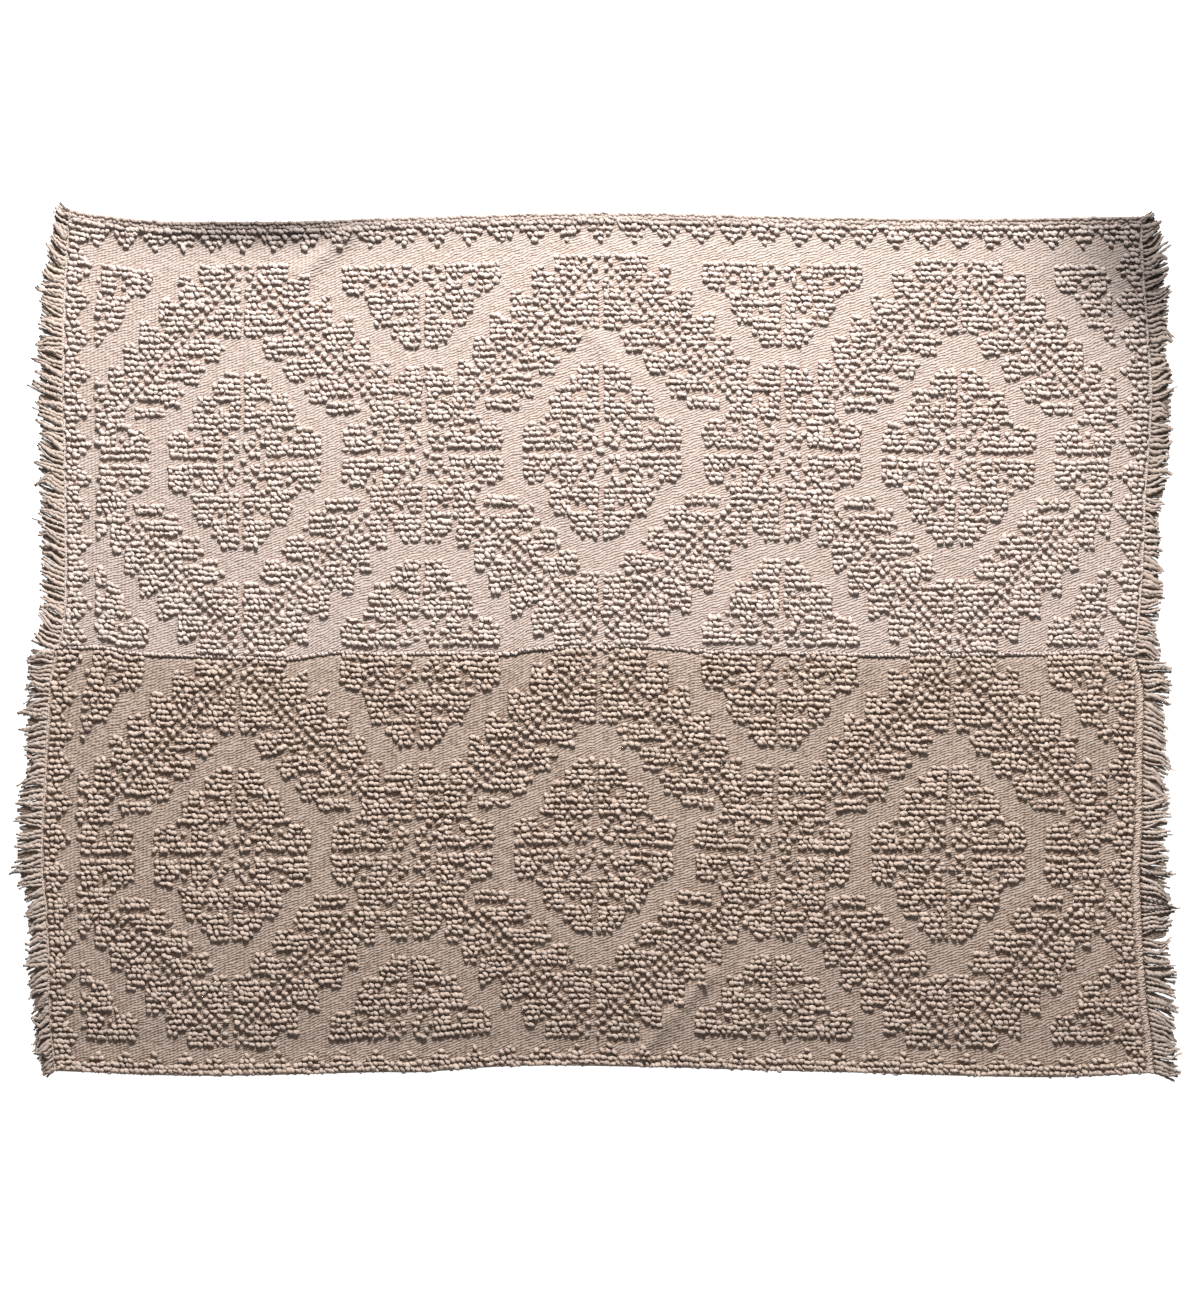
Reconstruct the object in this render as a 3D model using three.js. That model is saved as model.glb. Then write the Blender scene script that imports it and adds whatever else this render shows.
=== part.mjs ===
// A handwoven wool rug, lying flat. Two woven panels are sewn edge to edge along a middle seam.
// Raised loops of weft draw rosettes, leafy branches and toothed borders on a plain ribbed ground.
// Both short ends carry a cut fringe. Millimetres, +Z up, the rug's length along X.
import * as THREE from 'three';

// Cloth thickness and clearances
const GROUND_THICKNESS = 3.2;
const LOOP_HEIGHT = 5.6;
const PIECE_GAP = 0.3;
const STRIP_GAP = 0.315;        // a fringe strip's foot lies this far from the cloth's end

// The chart, in loop columns (along X) and loop rows (along Y)
const COLUMNS_TO_END = 102.5;   // from the middle of the rug to the end of the cloth
const FIELD_COLUMNS = 95;       // the motifs stop here, a plain column follows
const BORDER_COLUMN = 101;      // last column with loops, then the smooth heading
const REPEAT_COLUMNS = 33;      // from one rosette's centre to the next
const REPEAT_ROWS = 34;         // from a rosette on the mid row to one on a panel's edge
const TOOTH_PITCH = 6;          // columns or rows in one border tooth
const RELIEF_COLUMNS = 3;       // columns between points of the modelled relief
const RELIEF_ROWS = 2;          // rows between them
const RELIEF_FOOT = 0.3;        // the relief starts where this share of the loops round a point is there
const RELIEF_TOP = 0.65;        // and is full height from this share on

// The seam's height that both panels and all four edge tables start from
const SEAM_Y = -12;

// Columns of this table: x, y of the seam's puckered line
const SEAM_LINE = [
  [-764, -6], [-690, -6], [-664, -13], [-570, -18], [-449, -22], [-423, -21], [-370, -13], [-325, -15],
  [-205, -14], [-130, -15], [-98, -9], [-14, -5], [70, -5], [126, -10], [188, -13], [280, -14],
  [403, -17], [605, -15], [686, -13], [750, -16],
];

// Each panel: its rows, and tables. The middle row's y and each rosette's x go by chart column, the two long
// edges are x, y and the two ends y, x
const UPPER = {
  name: 'upper',
  rows: [-35.2, 41.7],
  seamSide: -1,
  outerY: 603,
  teeth: { tipRow: 37, solidRow: 40, lastRow: 40, shift: 0 },
  midRowY: [[-102.5, 256], [-66, 258], [-33, 270], [0, 271], [33, 272], [66, 265], [102.5, 263]],
  outerX: [[-66, -498], [-33, -251], [0, 1], [33, 255], [66, 503]],
  midRowX: [[-66, -501], [-33, -245], [0, 2], [33, 256], [66, 501]],
  outerEdge: [
    [-742, 609], [-700, 601], [-616, 592], [-532, 591], [-420, 592], [-308, 597], [-56, 605],
    [56, 605], [308, 599], [490, 596], [760, 599],
  ],
  leftEdge: [
    [SEAM_Y, -764], [20, -755], [73, -751], [203, -751], [326, -753], [438, -754], [535, -750],
    [582, -745], [610, -741],
  ],
  rightEdge: [
    [SEAM_Y, 750], [50, 757], [105, 761], [158, 764], [223, 766], [315, 773], [377, 774],
    [448, 769], [531, 763], [600, 760],
  ],
};
const LOWER = {
  name: 'lower',
  rows: [-39.7, 34.5],
  seamSide: 1,
  outerY: -597,
  teeth: { tipRow: 36, solidRow: 38, lastRow: 39, shift: TOOTH_PITCH / 2 },
  midRowY: [[-102.5, -297], [-66, -294], [-33, -288], [0, -281], [33, -291], [66, -290], [102.5, -293]],
  outerX: [[-66, -516], [-33, -268], [0, -11], [33, 243], [66, 492]],
  midRowX: [[-66, -516], [-33, -263], [0, -7], [33, 242], [66, 486]],
  outerEdge: [
    [-766, -596], [-563, -603], [-308, -598], [-255, -598], [-112, -589], [84, -591], [252, -596],
    [304, -597], [627, -605], [777, -599],
  ],
  leftEdge: [
    [-596, -766], [-545, -771], [-490, -774], [-405, -776], [-351, -779], [-290, -785], [-239, -783],
    [-147, -778], [-64, -773], [-34, -769], [SEAM_Y, -764],
  ],
  rightEdge: [
    [-599, 777], [-538, 773], [-494, 767], [-451, 764], [-396, 760], [-301, 757], [-239, 760],
    [-137, 761], [-55, 762], [SEAM_Y, 750],
  ],
};
const SEAM_X = [[-66, -503], [-33, -251], [0, 0], [33, 253], [66, 494]];

// Soft creases in the cloth. Columns: x and y of one end, x and y of the other, height, half width
const CREASES = [
  [-353, 573, -420, 517, 7, 11],
  [-18, 440, 38, 379, 3.5, 11],
  [-88, 220, -56, 181, 3, 10],
  [155, -459, 53, -574, 8, 10],
];
const CORNER_CURL = { x: -742, y: 609, height: 7, radius: 42 };
// The upper panel's outer edge curls up from the floor. Columns: x, height
const EDGE_LIFT = [
  [-742, 4], [-650, 8], [-520, 9], [-420, 8], [-300, 3], [-200, 1], [300, 1], [450, 3], [600, 6], [760, 7],
];
const LIFT_ROWS = 3.5;          // rows over which it rises
const LIFT_SHARPNESS = 1.5;
const UNDERSIDE_INSET = 5;      // the underside is level from this many columns or rows inside the edge
const SEAM_RIDGE = 2.4;         // the upper panel's selvedge stands up beside the seam

// Fringe
const STRIP_WIDTH = 3.4;        // narrow strip that the strands' roots are fused into
const STRIP_HEIGHT = 2.8;
const STRAND_PITCH = 8.4;
const STRAND_WIDTH = 3.8;
const STRAND_HEIGHT = 2.5;
const STRAND_BEND = 0.55;       // share of a strand's length where it bends
const STRAND_TAPER = 0.8;       // its width there
const STRAND_CLEARANCE = 4;     // least distance between two neighbouring tips
const END_MARGIN = 4.5;         // from a strip's end to its first strand
const LOCK_SIZE = 4;            // neighbouring strands that lean together
const LOCK_PULL = 1.1;
const LENGTH_JITTER = 0.1;
const TIP_JITTER = 1.2;

// How the strands lie. Columns: y of the root, reach outwards, rise towards +Y
const FRINGES = [
  { panel: UPPER, side: -1, lie: [
    [-10, 38, 12], [20, 24, 14], [60, 29, 14], [140, 33, 20], [220, 34, 13], [290, 33, 17], [380, 34, 17],
    [420, 33, 6], [455, 29, 14], [490, 30, 10], [560, 18, 24], [600, 18, 10]] },
  { panel: UPPER, side: 1, lie: [
    [-10, 36, -2], [30, 25, -7], [65, 33, 4], [105, 22, -14], [140, 21, -2], [190, 20, -4], [225, 27, 5],
    [320, 27, 4], [365, 27, 16], [400, 22, 2], [450, 27, 7], [490, 32, 8], [545, 28, 20], [600, 14, 8]] },
  { panel: LOWER, side: -1, lie: [
    [-590, 10, -10], [-560, 18, -18], [-480, 23, -17], [-440, 28, -14], [-400, 22, -10], [-350, 25, -12],
    [-300, 30, -7], [-250, 33, -4], [-200, 33, -6], [-170, 24, -4], [-90, 30, -8], [-40, 32, 2],
    [-10, 34, 2]] },
  { panel: LOWER, side: 1, lie: [
    [-600, 34, -10], [-575, 34, -6], [-500, 38, -18], [-460, 44, -4], [-420, 36, -2], [-385, 48, 8],
    [-345, 42, -18], [-310, 42, -4], [-270, 35, -5], [-225, 39, 6], [-195, 33, -17], [-150, 35, -12],
    [-80, 28, -12], [-60, 40, 0], [-30, 42, -3]] },
];

const WOOL = { upper: 0xd9c7b4, lower: 0xb9a38f, fringe: 0xcdbba8 };

// Loops in a quarter of a rosette, from its plain centre lines outwards, first row nearest the centre
const ROSETTE = [
  '.##.##########',
  '#.#.##########',
  '##.####..#####',
  '.#..###.#.####',
  '..#.###...###.',
  '####.#####....',
  '#########.....',
  '#########.....',
  '##.#.####.....',
  '##...###......',
  '########......',
  '#####.........',
  '#####.........',
  '####..........',
  '###...........',
];

// A leaf's four rows on a branch's inner side: first and last column from the leaf's tip
const LEAF_ROWS = [[0, 2], [0, 7], [-1, 6], [0, 5]];
const FIRST_LEAF = { row: 10, column: 13, step: 4, count: 4 };
const SMALL_LEAF = { rows: 2, first: 16, last: 21 };
const LEAF_SHOULDER = [7, 8];   // columns from a leaf's tip that its first row also holds
const WEDGE = { columns: 4, rowAndColumn: 31 };
// Lobes on a branch's outer side: the column that each one reaches, four rows a lobe
const LOBE_EDGES = [26, 23, 20, 16, 12, 8];
const LOBE_ROWS = 4;
const FIRST_LOBE_ROW = 11;
const STEM_ROWS = [10, 32];

// Repeatable noise from -1 to 1
function jitter(...seeds) {
  const mixed = seeds.reduce((sum, seed, i) => sum + seed * (12.9898 + 65.2427 * i), 0);
  const wave = Math.sin(mixed) * 43758.5453;
  return 2 * (wave - Math.floor(wave)) - 1;
}

// A smooth curve through a table's rows, held level past its ends
function along(table, at) {
  const last = table.length - 1;
  if (at <= table[0][0]) return table[0][1];
  if (at >= table[last][0]) return table[last][1];
  let i = 0;
  while (table[i + 1][0] < at) i += 1;
  const slope = (a, b) => (table[b][1] - table[a][1]) / (table[b][0] - table[a][0]);
  const span = table[i + 1][0] - table[i][0];
  const t = (at - table[i][0]) / span;
  const before = slope(Math.max(i - 1, 0), i + 1) * span;
  const after = slope(i, Math.min(i + 2, last)) * span;
  const rise = table[i + 1][1] - table[i][1];
  return table[i][1] + t * before + t * t * (3 * rise - 2 * before - after)
    + t * t * t * (before + after - 2 * rise);
}

function rosetteLoop(columns, rows) {
  if (columns === 0 && rows === 0) return true;
  const line = ROSETTE[rows - 1];
  return line !== undefined && columns > 0 && line[columns - 1] === '#';
}

function innerLeafLoop(column, row) {
  const { row: firstRow, column: firstColumn, step, count } = FIRST_LEAF;
  if (row < firstRow) {
    return row >= firstRow - SMALL_LEAF.rows && column >= SMALL_LEAF.first && column <= SMALL_LEAF.last;
  }
  const leaf = Math.floor((row - firstRow) / step);
  const part = (row - firstRow) % step;
  const tip = firstColumn - step * leaf;
  const [shoulder, shoulderEnd] = LEAF_SHOULDER;
  if (part === 0 && leaf > 0 && column >= tip + shoulder && column <= tip + shoulderEnd) return true;
  if (leaf >= count) return column <= Math.min(WEDGE.columns, WEDGE.rowAndColumn - row);
  const [first, last] = LEAF_ROWS[part];
  return column >= tip + first && column <= tip + last;
}

function outerLobeLoop(column, row, stem) {
  if (row < FIRST_LOBE_ROW || column < stem + 2) return false;
  const lobe = Math.min(Math.floor((row - FIRST_LOBE_ROW) / LOBE_ROWS), LOBE_EDGES.length - 1);
  const part = row - FIRST_LOBE_ROW - LOBE_ROWS * lobe;
  const edge = LOBE_EDGES[lobe];
  const previous = lobe > 0 ? LOBE_EDGES[lobe - 1] : edge - 1;
  if (part === 0) return column !== edge && column <= previous;
  if (part === 1 && lobe > 0 && column >= previous - 1) return column <= previous;
  return column <= edge && (part === 1 || column !== stem + 3);
}

function branchLoop(column, row) {
  const stem = REPEAT_COLUMNS - row;
  if (column === 0) return false;
  if (column === stem) return row >= STEM_ROWS[0] && row <= STEM_ROWS[1];
  return column < stem ? innerLeafLoop(column, row) : outerLobeLoop(column, row, stem);
}

// Distance to the nearest multiple of a pitch
function distanceToPitch(value, pitch) {
  const rest = Math.abs(value) % pitch;
  return Math.min(rest, pitch - rest);
}

function borderLoop(panel, column, row) {
  const outward = -panel.seamSide * row;
  const { tipRow, solidRow, lastRow, shift } = panel.teeth;
  // The lower panel's plain right end is a column wider
  const lastColumn = panel === LOWER && column > 0 ? BORDER_COLUMN - 1 : BORDER_COLUMN;
  if (outward >= tipRow && outward <= lastRow && Math.abs(column) <= lastColumn) {
    if (outward >= solidRow || distanceToPitch(column - shift, TOOTH_PITCH) <= outward - tipRow) return true;
  }
  const width = 2 + distanceToPitch(row, TOOTH_PITCH);
  const fromEnd = lastColumn - Math.abs(column);
  return fromEnd >= 0 && fromEnd < width && outward <= lastRow;
}

// True where the chart has a loop
function loopAt(panel, column, row) {
  if (Math.abs(column) > FIELD_COLUMNS || Math.abs(row) > REPEAT_ROWS) return borderLoop(panel, column, row);
  const folded = Math.abs(column) % (2 * REPEAT_COLUMNS);
  const c = Math.min(folded, 2 * REPEAT_COLUMNS - folded);
  const r = Math.abs(row);
  // The lower panel's first row at the seam repeats the next row's rosettes
  const fromEdge = panel === LOWER && row === REPEAT_ROWS ? 1 : REPEAT_ROWS - r;
  return rosetteLoop(c, r) || rosetteLoop(REPEAT_COLUMNS - c, r)
    || (rosetteLoop(REPEAT_COLUMNS - c, fromEdge) && fromEdge > 0) || branchLoop(c, r);
}

// Share of the nine chart cells round a point that carry loops
function loopShare(panel, column, row) {
  if (Math.abs(column) > BORDER_COLUMN || !Number.isInteger(row)) return 0;
  let loops = 0;
  for (const dc of [-1, 0, 1]) {
    for (const dr of [-1, 0, 1]) loops += loopAt(panel, column + dc, row + dr) ? 1 : 0;
  }
  return loops / 9;
}

// Where a chart point lies on the floor
function panelPoint(panel, column, row) {
  const towardsSeam = Math.sign(row) === panel.seamSide;
  const share = row / (row < 0 ? panel.rows[0] : panel.rows[1]);
  const farY = towardsSeam ? SEAM_Y : panel.outerY;
  const nominalY = THREE.MathUtils.lerp(along(panel.midRowY, 0), farY, share);
  const farX = towardsSeam ? SEAM_X : panel.outerX;
  const inner = panel.midRowX.map(([c, x], i) => [c, THREE.MathUtils.lerp(x, farX[i][1], share)]);
  const left = [-COLUMNS_TO_END, along(panel.leftEdge, nominalY)];
  const right = [COLUMNS_TO_END, along(panel.rightEdge, nominalY)];
  const x = along([left, ...inner, right], column);
  const seamY = along(SEAM_LINE, x) - panel.seamSide * PIECE_GAP / 2;
  const edgeY = towardsSeam ? seamY : along(panel.outerEdge, x);
  return new THREE.Vector2(x, THREE.MathUtils.lerp(along(panel.midRowY, column), edgeY, share));
}

// How far the cloth is lifted from the floor by its creases, its curled edge and its curled corner
function clothLift(panel, row, point) {
  let z = 0;
  const nearest = new THREE.Vector3();
  const here = new THREE.Vector3(point.x, point.y, 0);
  for (const [x0, y0, x1, y1, height, halfWidth] of CREASES) {
    const crease = new THREE.Line3(new THREE.Vector3(x0, y0, 0), new THREE.Vector3(x1, y1, 0));
    crease.closestPointToPoint(here, true, nearest);
    z += height * Math.exp(-((nearest.distanceTo(here) / halfWidth) ** 2));
  }
  const fromCorner = Math.hypot(point.x - CORNER_CURL.x, point.y - CORNER_CURL.y);
  z += CORNER_CURL.height * Math.exp(-((fromCorner / CORNER_CURL.radius) ** 2));
  if (panel !== UPPER) return z;
  const climbed = THREE.MathUtils.clamp(1 - (panel.rows[1] - row) / LIFT_ROWS, 0, 1);
  return z + along(EDGE_LIFT, point.x) * climbed ** LIFT_SHARPNESS;
}

function surfaceHeight(panel, column, row, point) {
  const relief = THREE.MathUtils.smoothstep(loopShare(panel, column, row), RELIEF_FOOT, RELIEF_TOP);
  const ridge = panel === UPPER && row === panel.rows[0] ? SEAM_RIDGE : 0;
  return GROUND_THICKNESS + LOOP_HEIGHT * relief + ridge + clothLift(panel, row, point);
}

// Chart lines at multiples of a step, with the cloth's own edges as the first and last
function chartLines(first, last, step) {
  const lines = [first];
  for (let at = Math.ceil((first + 1) / step) * step; at <= last - 1; at += step) lines.push(at);
  return [...lines, last];
}

function closedGeometry(positions, triangles) {
  const geometry = new THREE.BufferGeometry();
  geometry.setAttribute('position', new THREE.Float32BufferAttribute(positions, 3));
  geometry.setIndex(triangles);
  geometry.computeVertexNormals();
  return geometry;
}

// One woven panel: the photo's uneven outline, the motifs raised in its face, and an underside that lies
// level but for its curled edge
function panelGeometry(panel) {
  const columns = chartLines(-COLUMNS_TO_END, COLUMNS_TO_END, RELIEF_COLUMNS);
  const rows = chartLines(...panel.rows, RELIEF_ROWS);
  const positions = [];
  for (const row of rows) {
    for (const column of columns) {
      const point = panelPoint(panel, column, row);
      positions.push(point.x, point.y, surfaceHeight(panel, column, row, point));
    }
  }
  const at = (i, j) => j * columns.length + i;
  const height = (index) => positions[3 * index + 2];
  const triangles = [];
  for (let j = 0; j + 1 < rows.length; j += 1) {
    for (let i = 0; i + 1 < columns.length; i += 1) {
      const [a, b, c, d] = [at(i, j), at(i + 1, j), at(i + 1, j + 1), at(i, j + 1)];
      if (Math.abs(height(a) - height(c)) < Math.abs(height(b) - height(d))) {
        triangles.push(a, b, c, a, c, d);
      } else {
        triangles.push(a, b, d, b, c, d);
      }
    }
  }
  const rim = [];
  const [lastI, lastJ] = [columns.length - 1, rows.length - 1];
  for (let i = 0; i < lastI; i += 1) rim.push([i, 0]);
  for (let j = 0; j < lastJ; j += 1) rim.push([lastI, j]);
  for (let i = lastI; i > 0; i -= 1) rim.push([i, lastJ]);
  for (let j = lastJ; j > 0; j -= 1) rim.push([0, j]);

  const put = (point, z) => positions.push(point.x, point.y, z) / 3 - 1;
  const insetPoints = new Map();
  const insetPoint = (column, row) => {
    const reach = COLUMNS_TO_END - UNDERSIDE_INSET;
    const c = THREE.MathUtils.clamp(column, -reach, reach);
    const r = THREE.MathUtils.clamp(row, panel.rows[0] + UNDERSIDE_INSET, panel.rows[1] - UNDERSIDE_INSET);
    const key = `${c},${r}`;
    if (!insetPoints.has(key)) insetPoints.set(key, put(panelPoint(panel, c, r), 0));
    return insetPoints.get(key);
  };
  const stations = rim.map(([i, j]) => {
    const point = panelPoint(panel, columns[i], rows[j]);
    const foot = put(point, clothLift(panel, rows[j], point));
    return { top: at(i, j), foot, inset: insetPoint(columns[i], rows[j]) };
  });
  const hub = put(panelPoint(panel, 0, 0), 0);
  stations.forEach(({ top, foot, inset }, k) => {
    const next = stations[(k + 1) % stations.length];
    triangles.push(foot, next.foot, next.top, foot, next.top, top);
    triangles.push(inset, next.foot, foot);
    if (inset !== next.inset) triangles.push(inset, next.inset, next.foot, hub, next.inset, inset);
  });
  return closedGeometry(positions, triangles);
}

// The end edge of a panel, from its lower row to its upper one
function endEdge(panel, side) {
  return chartLines(...panel.rows, RELIEF_ROWS).map((row) => panelPoint(panel, side * COLUMNS_TO_END, row));
}

// The strands of one fringe: where each one is rooted, bends and ends
function strandsOf({ panel, side, lie }, edge) {
  const [low, high] = [edge[0].y + END_MARGIN, edge[edge.length - 1].y - END_MARGIN];
  const count = Math.floor((high - low) / STRAND_PITCH);
  const reach = lie.map(([y, out]) => [y, out]);
  const rise = lie.map(([y, , up]) => [y, up]);
  const strands = [];
  let lastTipY = -Infinity;
  for (let i = 0; i <= count; i += 1) {
    const y = low + (high - low) * i / count;
    const seeds = [side, panel.seamSide];
    const out = side * along(reach, y) * (1 + LENGTH_JITTER * jitter(i, ...seeds));
    const pull = LOCK_PULL * ((LOCK_SIZE - 1) / 2 - (i % LOCK_SIZE));
    const wander = TIP_JITTER * jitter(i + 0.5, ...seeds);
    const tipY = Math.max(y + along(rise, y) + pull + wander, lastTipY + STRAND_CLEARANCE);
    const bend = TIP_JITTER / 3 * jitter(i + 0.25, ...seeds);
    strands.push({ y, out, tipY, bendY: THREE.MathUtils.lerp(y, tipY, STRAND_BEND) + bend });
    lastTipY = tipY;
  }
  return strands;
}

// A narrow strip a hair's gap away from the cloth's end, with three-sided strands that lie on the floor
function fringeGeometry(fringe) {
  const { panel, side } = fringe;
  const edge = endEdge(panel, side);
  const strands = strandsOf(fringe, edge);
  const positions = [];
  const triangles = [];
  const put = (x, y, z) => positions.push(x, y, z) / 3 - 1;
  const face = (...corners) => {
    const turned = side > 0 ? corners : corners.reverse();
    for (let k = 1; k + 1 < turned.length; k += 1) triangles.push(turned[0], turned[k], turned[k + 1]);
  };
  const between = (innerChain, outerChain, upwards) => {
    let [i, j] = [0, 0];
    const yOf = (index) => positions[3 * index + 1];
    while (i + 1 < innerChain.length || j + 1 < outerChain.length) {
      const innerFirst = j + 1 >= outerChain.length
        || (i + 1 < innerChain.length && yOf(innerChain[i + 1]) < yOf(outerChain[j + 1]));
      const corners = [innerChain[i], outerChain[j], innerFirst ? innerChain[i + 1] : outerChain[j + 1]];
      face(...(upwards ? corners : corners.reverse()));
      if (innerFirst) i += 1;
      else j += 1;
    }
  };

  const edgeX = edge.map((point) => [point.y, point.x + side * STRIP_GAP]);
  const inner = edgeX.map(([y, x]) => ({ low: put(x, y, 0), top: put(x, y, STRIP_HEIGHT) }));
  const stationY = [edge[0].y];
  for (let i = LOCK_SIZE; i < strands.length - 1; i += LOCK_SIZE) {
    stationY.push((strands[i - 1].y + strands[i].y) / 2);
  }
  stationY.push(edge[edge.length - 1].y);
  const wallX = stationY.map((y) => along(edgeX, y) + side * STRIP_WIDTH);
  const outer = stationY.map((y, k) => ({ low: put(wallX[k], y, 0), top: put(wallX[k], y, STRIP_HEIGHT) }));

  const wallFoot = [];
  for (let k = 0; k + 1 < stationY.length; k += 1) {
    const onWall = (y) => THREE.MathUtils.mapLinear(y, stationY[k], stationY[k + 1], wallX[k], wallX[k + 1]);
    const wall = [outer[k].low];
    for (const strand of strands.filter(({ y }) => y > stationY[k] && y < stationY[k + 1])) {
      const rootX = onWall(strand.y);
      const direction = new THREE.Vector2(strand.out, strand.tipY - strand.y).normalize();
      const half = STRAND_WIDTH / 2;
      const [y1, y2] = [strand.y - half, strand.y + half];
      const root = [put(onWall(y1), y1, 0), put(onWall(y2), y2, 0), put(rootX, strand.y, STRAND_HEIGHT)];
      const bendX = rootX + STRAND_BEND * strand.out;
      const [dx, dy] = [direction.y, direction.x].map((part) => STRAND_TAPER * half * side * part);
      const bend = [
        put(bendX + dx, strand.bendY - dy, 0),
        put(bendX - dx, strand.bendY + dy, 0),
        put(bendX, strand.bendY, STRAND_TAPER * STRAND_HEIGHT),
      ];
      const tip = put(rootX + strand.out, strand.tipY, 0);
      face(root[0], bend[0], bend[2], root[2]);
      face(bend[0], tip, bend[2]);
      face(root[1], root[2], bend[2], bend[1]);
      face(bend[1], bend[2], tip);
      face(root[0], root[1], bend[1], bend[0]);
      face(bend[0], bend[1], tip);
      wall.push(root[0], root[2], root[1]);
    }
    wallFoot.push(...wall.filter((index) => positions[3 * index + 2] === 0));
    wall.push(outer[k + 1].low, outer[k + 1].top, outer[k].top);
    const upright = wall.map((i) => new THREE.Vector2(positions[3 * i + 1], positions[3 * i + 2]));
    for (const [a, b, c] of THREE.ShapeUtils.triangulateShape(upright, [])) {
      face(wall[a], wall[b], wall[c]);
    }
  }
  wallFoot.push(outer[outer.length - 1].low);

  between(inner.map(({ low }) => low), wallFoot, false);
  between(inner.map(({ top }) => top), outer.map(({ top }) => top), true);
  for (let k = 0; k + 1 < inner.length; k += 1) {
    face(inner[k].low, inner[k].top, inner[k + 1].top, inner[k + 1].low);
  }
  const [innerEnd, outerEnd] = [inner[inner.length - 1], outer[outer.length - 1]];
  face(inner[0].low, outer[0].low, outer[0].top, inner[0].top);
  face(outerEnd.low, innerEnd.low, innerEnd.top, outerEnd.top);
  return closedGeometry(positions, triangles);
}

function woolMesh(name, geometry, colour) {
  const material = new THREE.MeshStandardMaterial({ color: colour, roughness: 0.95, metalness: 0 });
  const mesh = new THREE.Mesh(geometry, material);
  mesh.name = name;
  return mesh;
}

const rug = new THREE.Group();
for (const panel of [UPPER, LOWER]) {
  rug.add(woolMesh(`panel_${panel.name}`, panelGeometry(panel), WOOL[panel.name]));
}
for (const fringe of FRINGES) {
  const sideName = fringe.side < 0 ? 'left' : 'right';
  rug.add(woolMesh(`fringe_${fringe.panel.name}_${sideName}`, fringeGeometry(fringe), WOOL.fringe));
}

// The origin is under the middle of the rug's box
const box = new THREE.Box3().setFromObject(rug);
const centre = box.getCenter(new THREE.Vector3());
rug.position.set(-centre.x, -centre.y, -box.min.z);

export default rug;
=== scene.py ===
"""A handwoven wool rug, lying flat and seen from above.

Two woven panels are sewn edge to edge. Loops of weft pulled up from a plain ribbed ground draw rosettes,
leafy branches and toothed borders, and the warp ends are cut as a fringe at both short ends.
Tables of places are in millimetres, the chart is in loop columns and rows, and meshes are in metres.
"""
import math
from functools import partial
from types import SimpleNamespace as Record

import bpy
import numpy as np
from bpy.props import FloatProperty, FloatVectorProperty, IntProperty, PointerProperty
from bpy.types import Operator, Panel, PropertyGroup
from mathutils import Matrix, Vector


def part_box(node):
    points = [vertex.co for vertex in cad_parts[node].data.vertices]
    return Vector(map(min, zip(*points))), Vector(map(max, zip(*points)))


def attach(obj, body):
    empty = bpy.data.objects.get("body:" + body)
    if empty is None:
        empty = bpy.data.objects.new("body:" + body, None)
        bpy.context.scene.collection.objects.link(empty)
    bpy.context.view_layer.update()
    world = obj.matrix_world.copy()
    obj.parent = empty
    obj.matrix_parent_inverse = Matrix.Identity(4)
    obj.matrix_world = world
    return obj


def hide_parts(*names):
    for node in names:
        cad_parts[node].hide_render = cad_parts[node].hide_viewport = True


bl_info = {
    "name": "Handwoven looped rug",
    "version": (1, 0, 0),
    "blender": (4, 5, 0),
    "location": "View3D > Sidebar > Rug",
    "description": "Weaves a rug of two looped-pile panels with a cut fringe",
    "category": "Object",
}

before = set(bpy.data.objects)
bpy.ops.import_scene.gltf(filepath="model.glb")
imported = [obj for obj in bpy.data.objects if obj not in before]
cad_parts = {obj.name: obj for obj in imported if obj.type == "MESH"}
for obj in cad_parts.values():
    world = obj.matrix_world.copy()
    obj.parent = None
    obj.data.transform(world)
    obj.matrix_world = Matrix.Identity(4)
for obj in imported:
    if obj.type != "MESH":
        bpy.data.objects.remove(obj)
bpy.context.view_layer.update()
MM = 0.001

# The chart, in loop columns (along X) and loop rows (along Y)
COLUMNS_TO_END = 102.5   # from the middle of the rug to the end of the cloth
FIELD_COLUMNS = 95       # the motifs stop here, a plain column follows
BORDER_COLUMN = 101      # last column with loops, then the smooth heading
REPEAT_COLUMNS = 33      # from one rosette's centre to the next
REPEAT_ROWS = 34         # from a rosette on the mid row to one on a panel's edge
TOOTH_PITCH = 6          # columns or rows in one border tooth
COARSE_STEP = 3          # columns and rows between points of the cloth's underside

# Where the edge tables of both panels meet
SEAM_Y = -12
# The seam's puckered line. Columns: x, y
SEAM_LINE = (
    (-764, -6), (-690, -6), (-664, -13), (-570, -18), (-449, -22), (-423, -21), (-370, -13), (-325, -15),
    (-205, -14), (-130, -15), (-98, -9), (-14, -5), (70, -5), (126, -10), (188, -13), (280, -14),
    (403, -17), (605, -15), (686, -13), (750, -16),
)
# Columns of the chart that tables give a place for, and those with both ends of the cloth
MARKS = (-66, -33, 0, 33, 66)
ALL_MARKS = (-COLUMNS_TO_END, *MARKS, COLUMNS_TO_END)
SEAM_X = (-503, -251, 0, 253, 494)   # x on the seam at each mark
SIDES = {-1: "left", 1: "right"}

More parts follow.
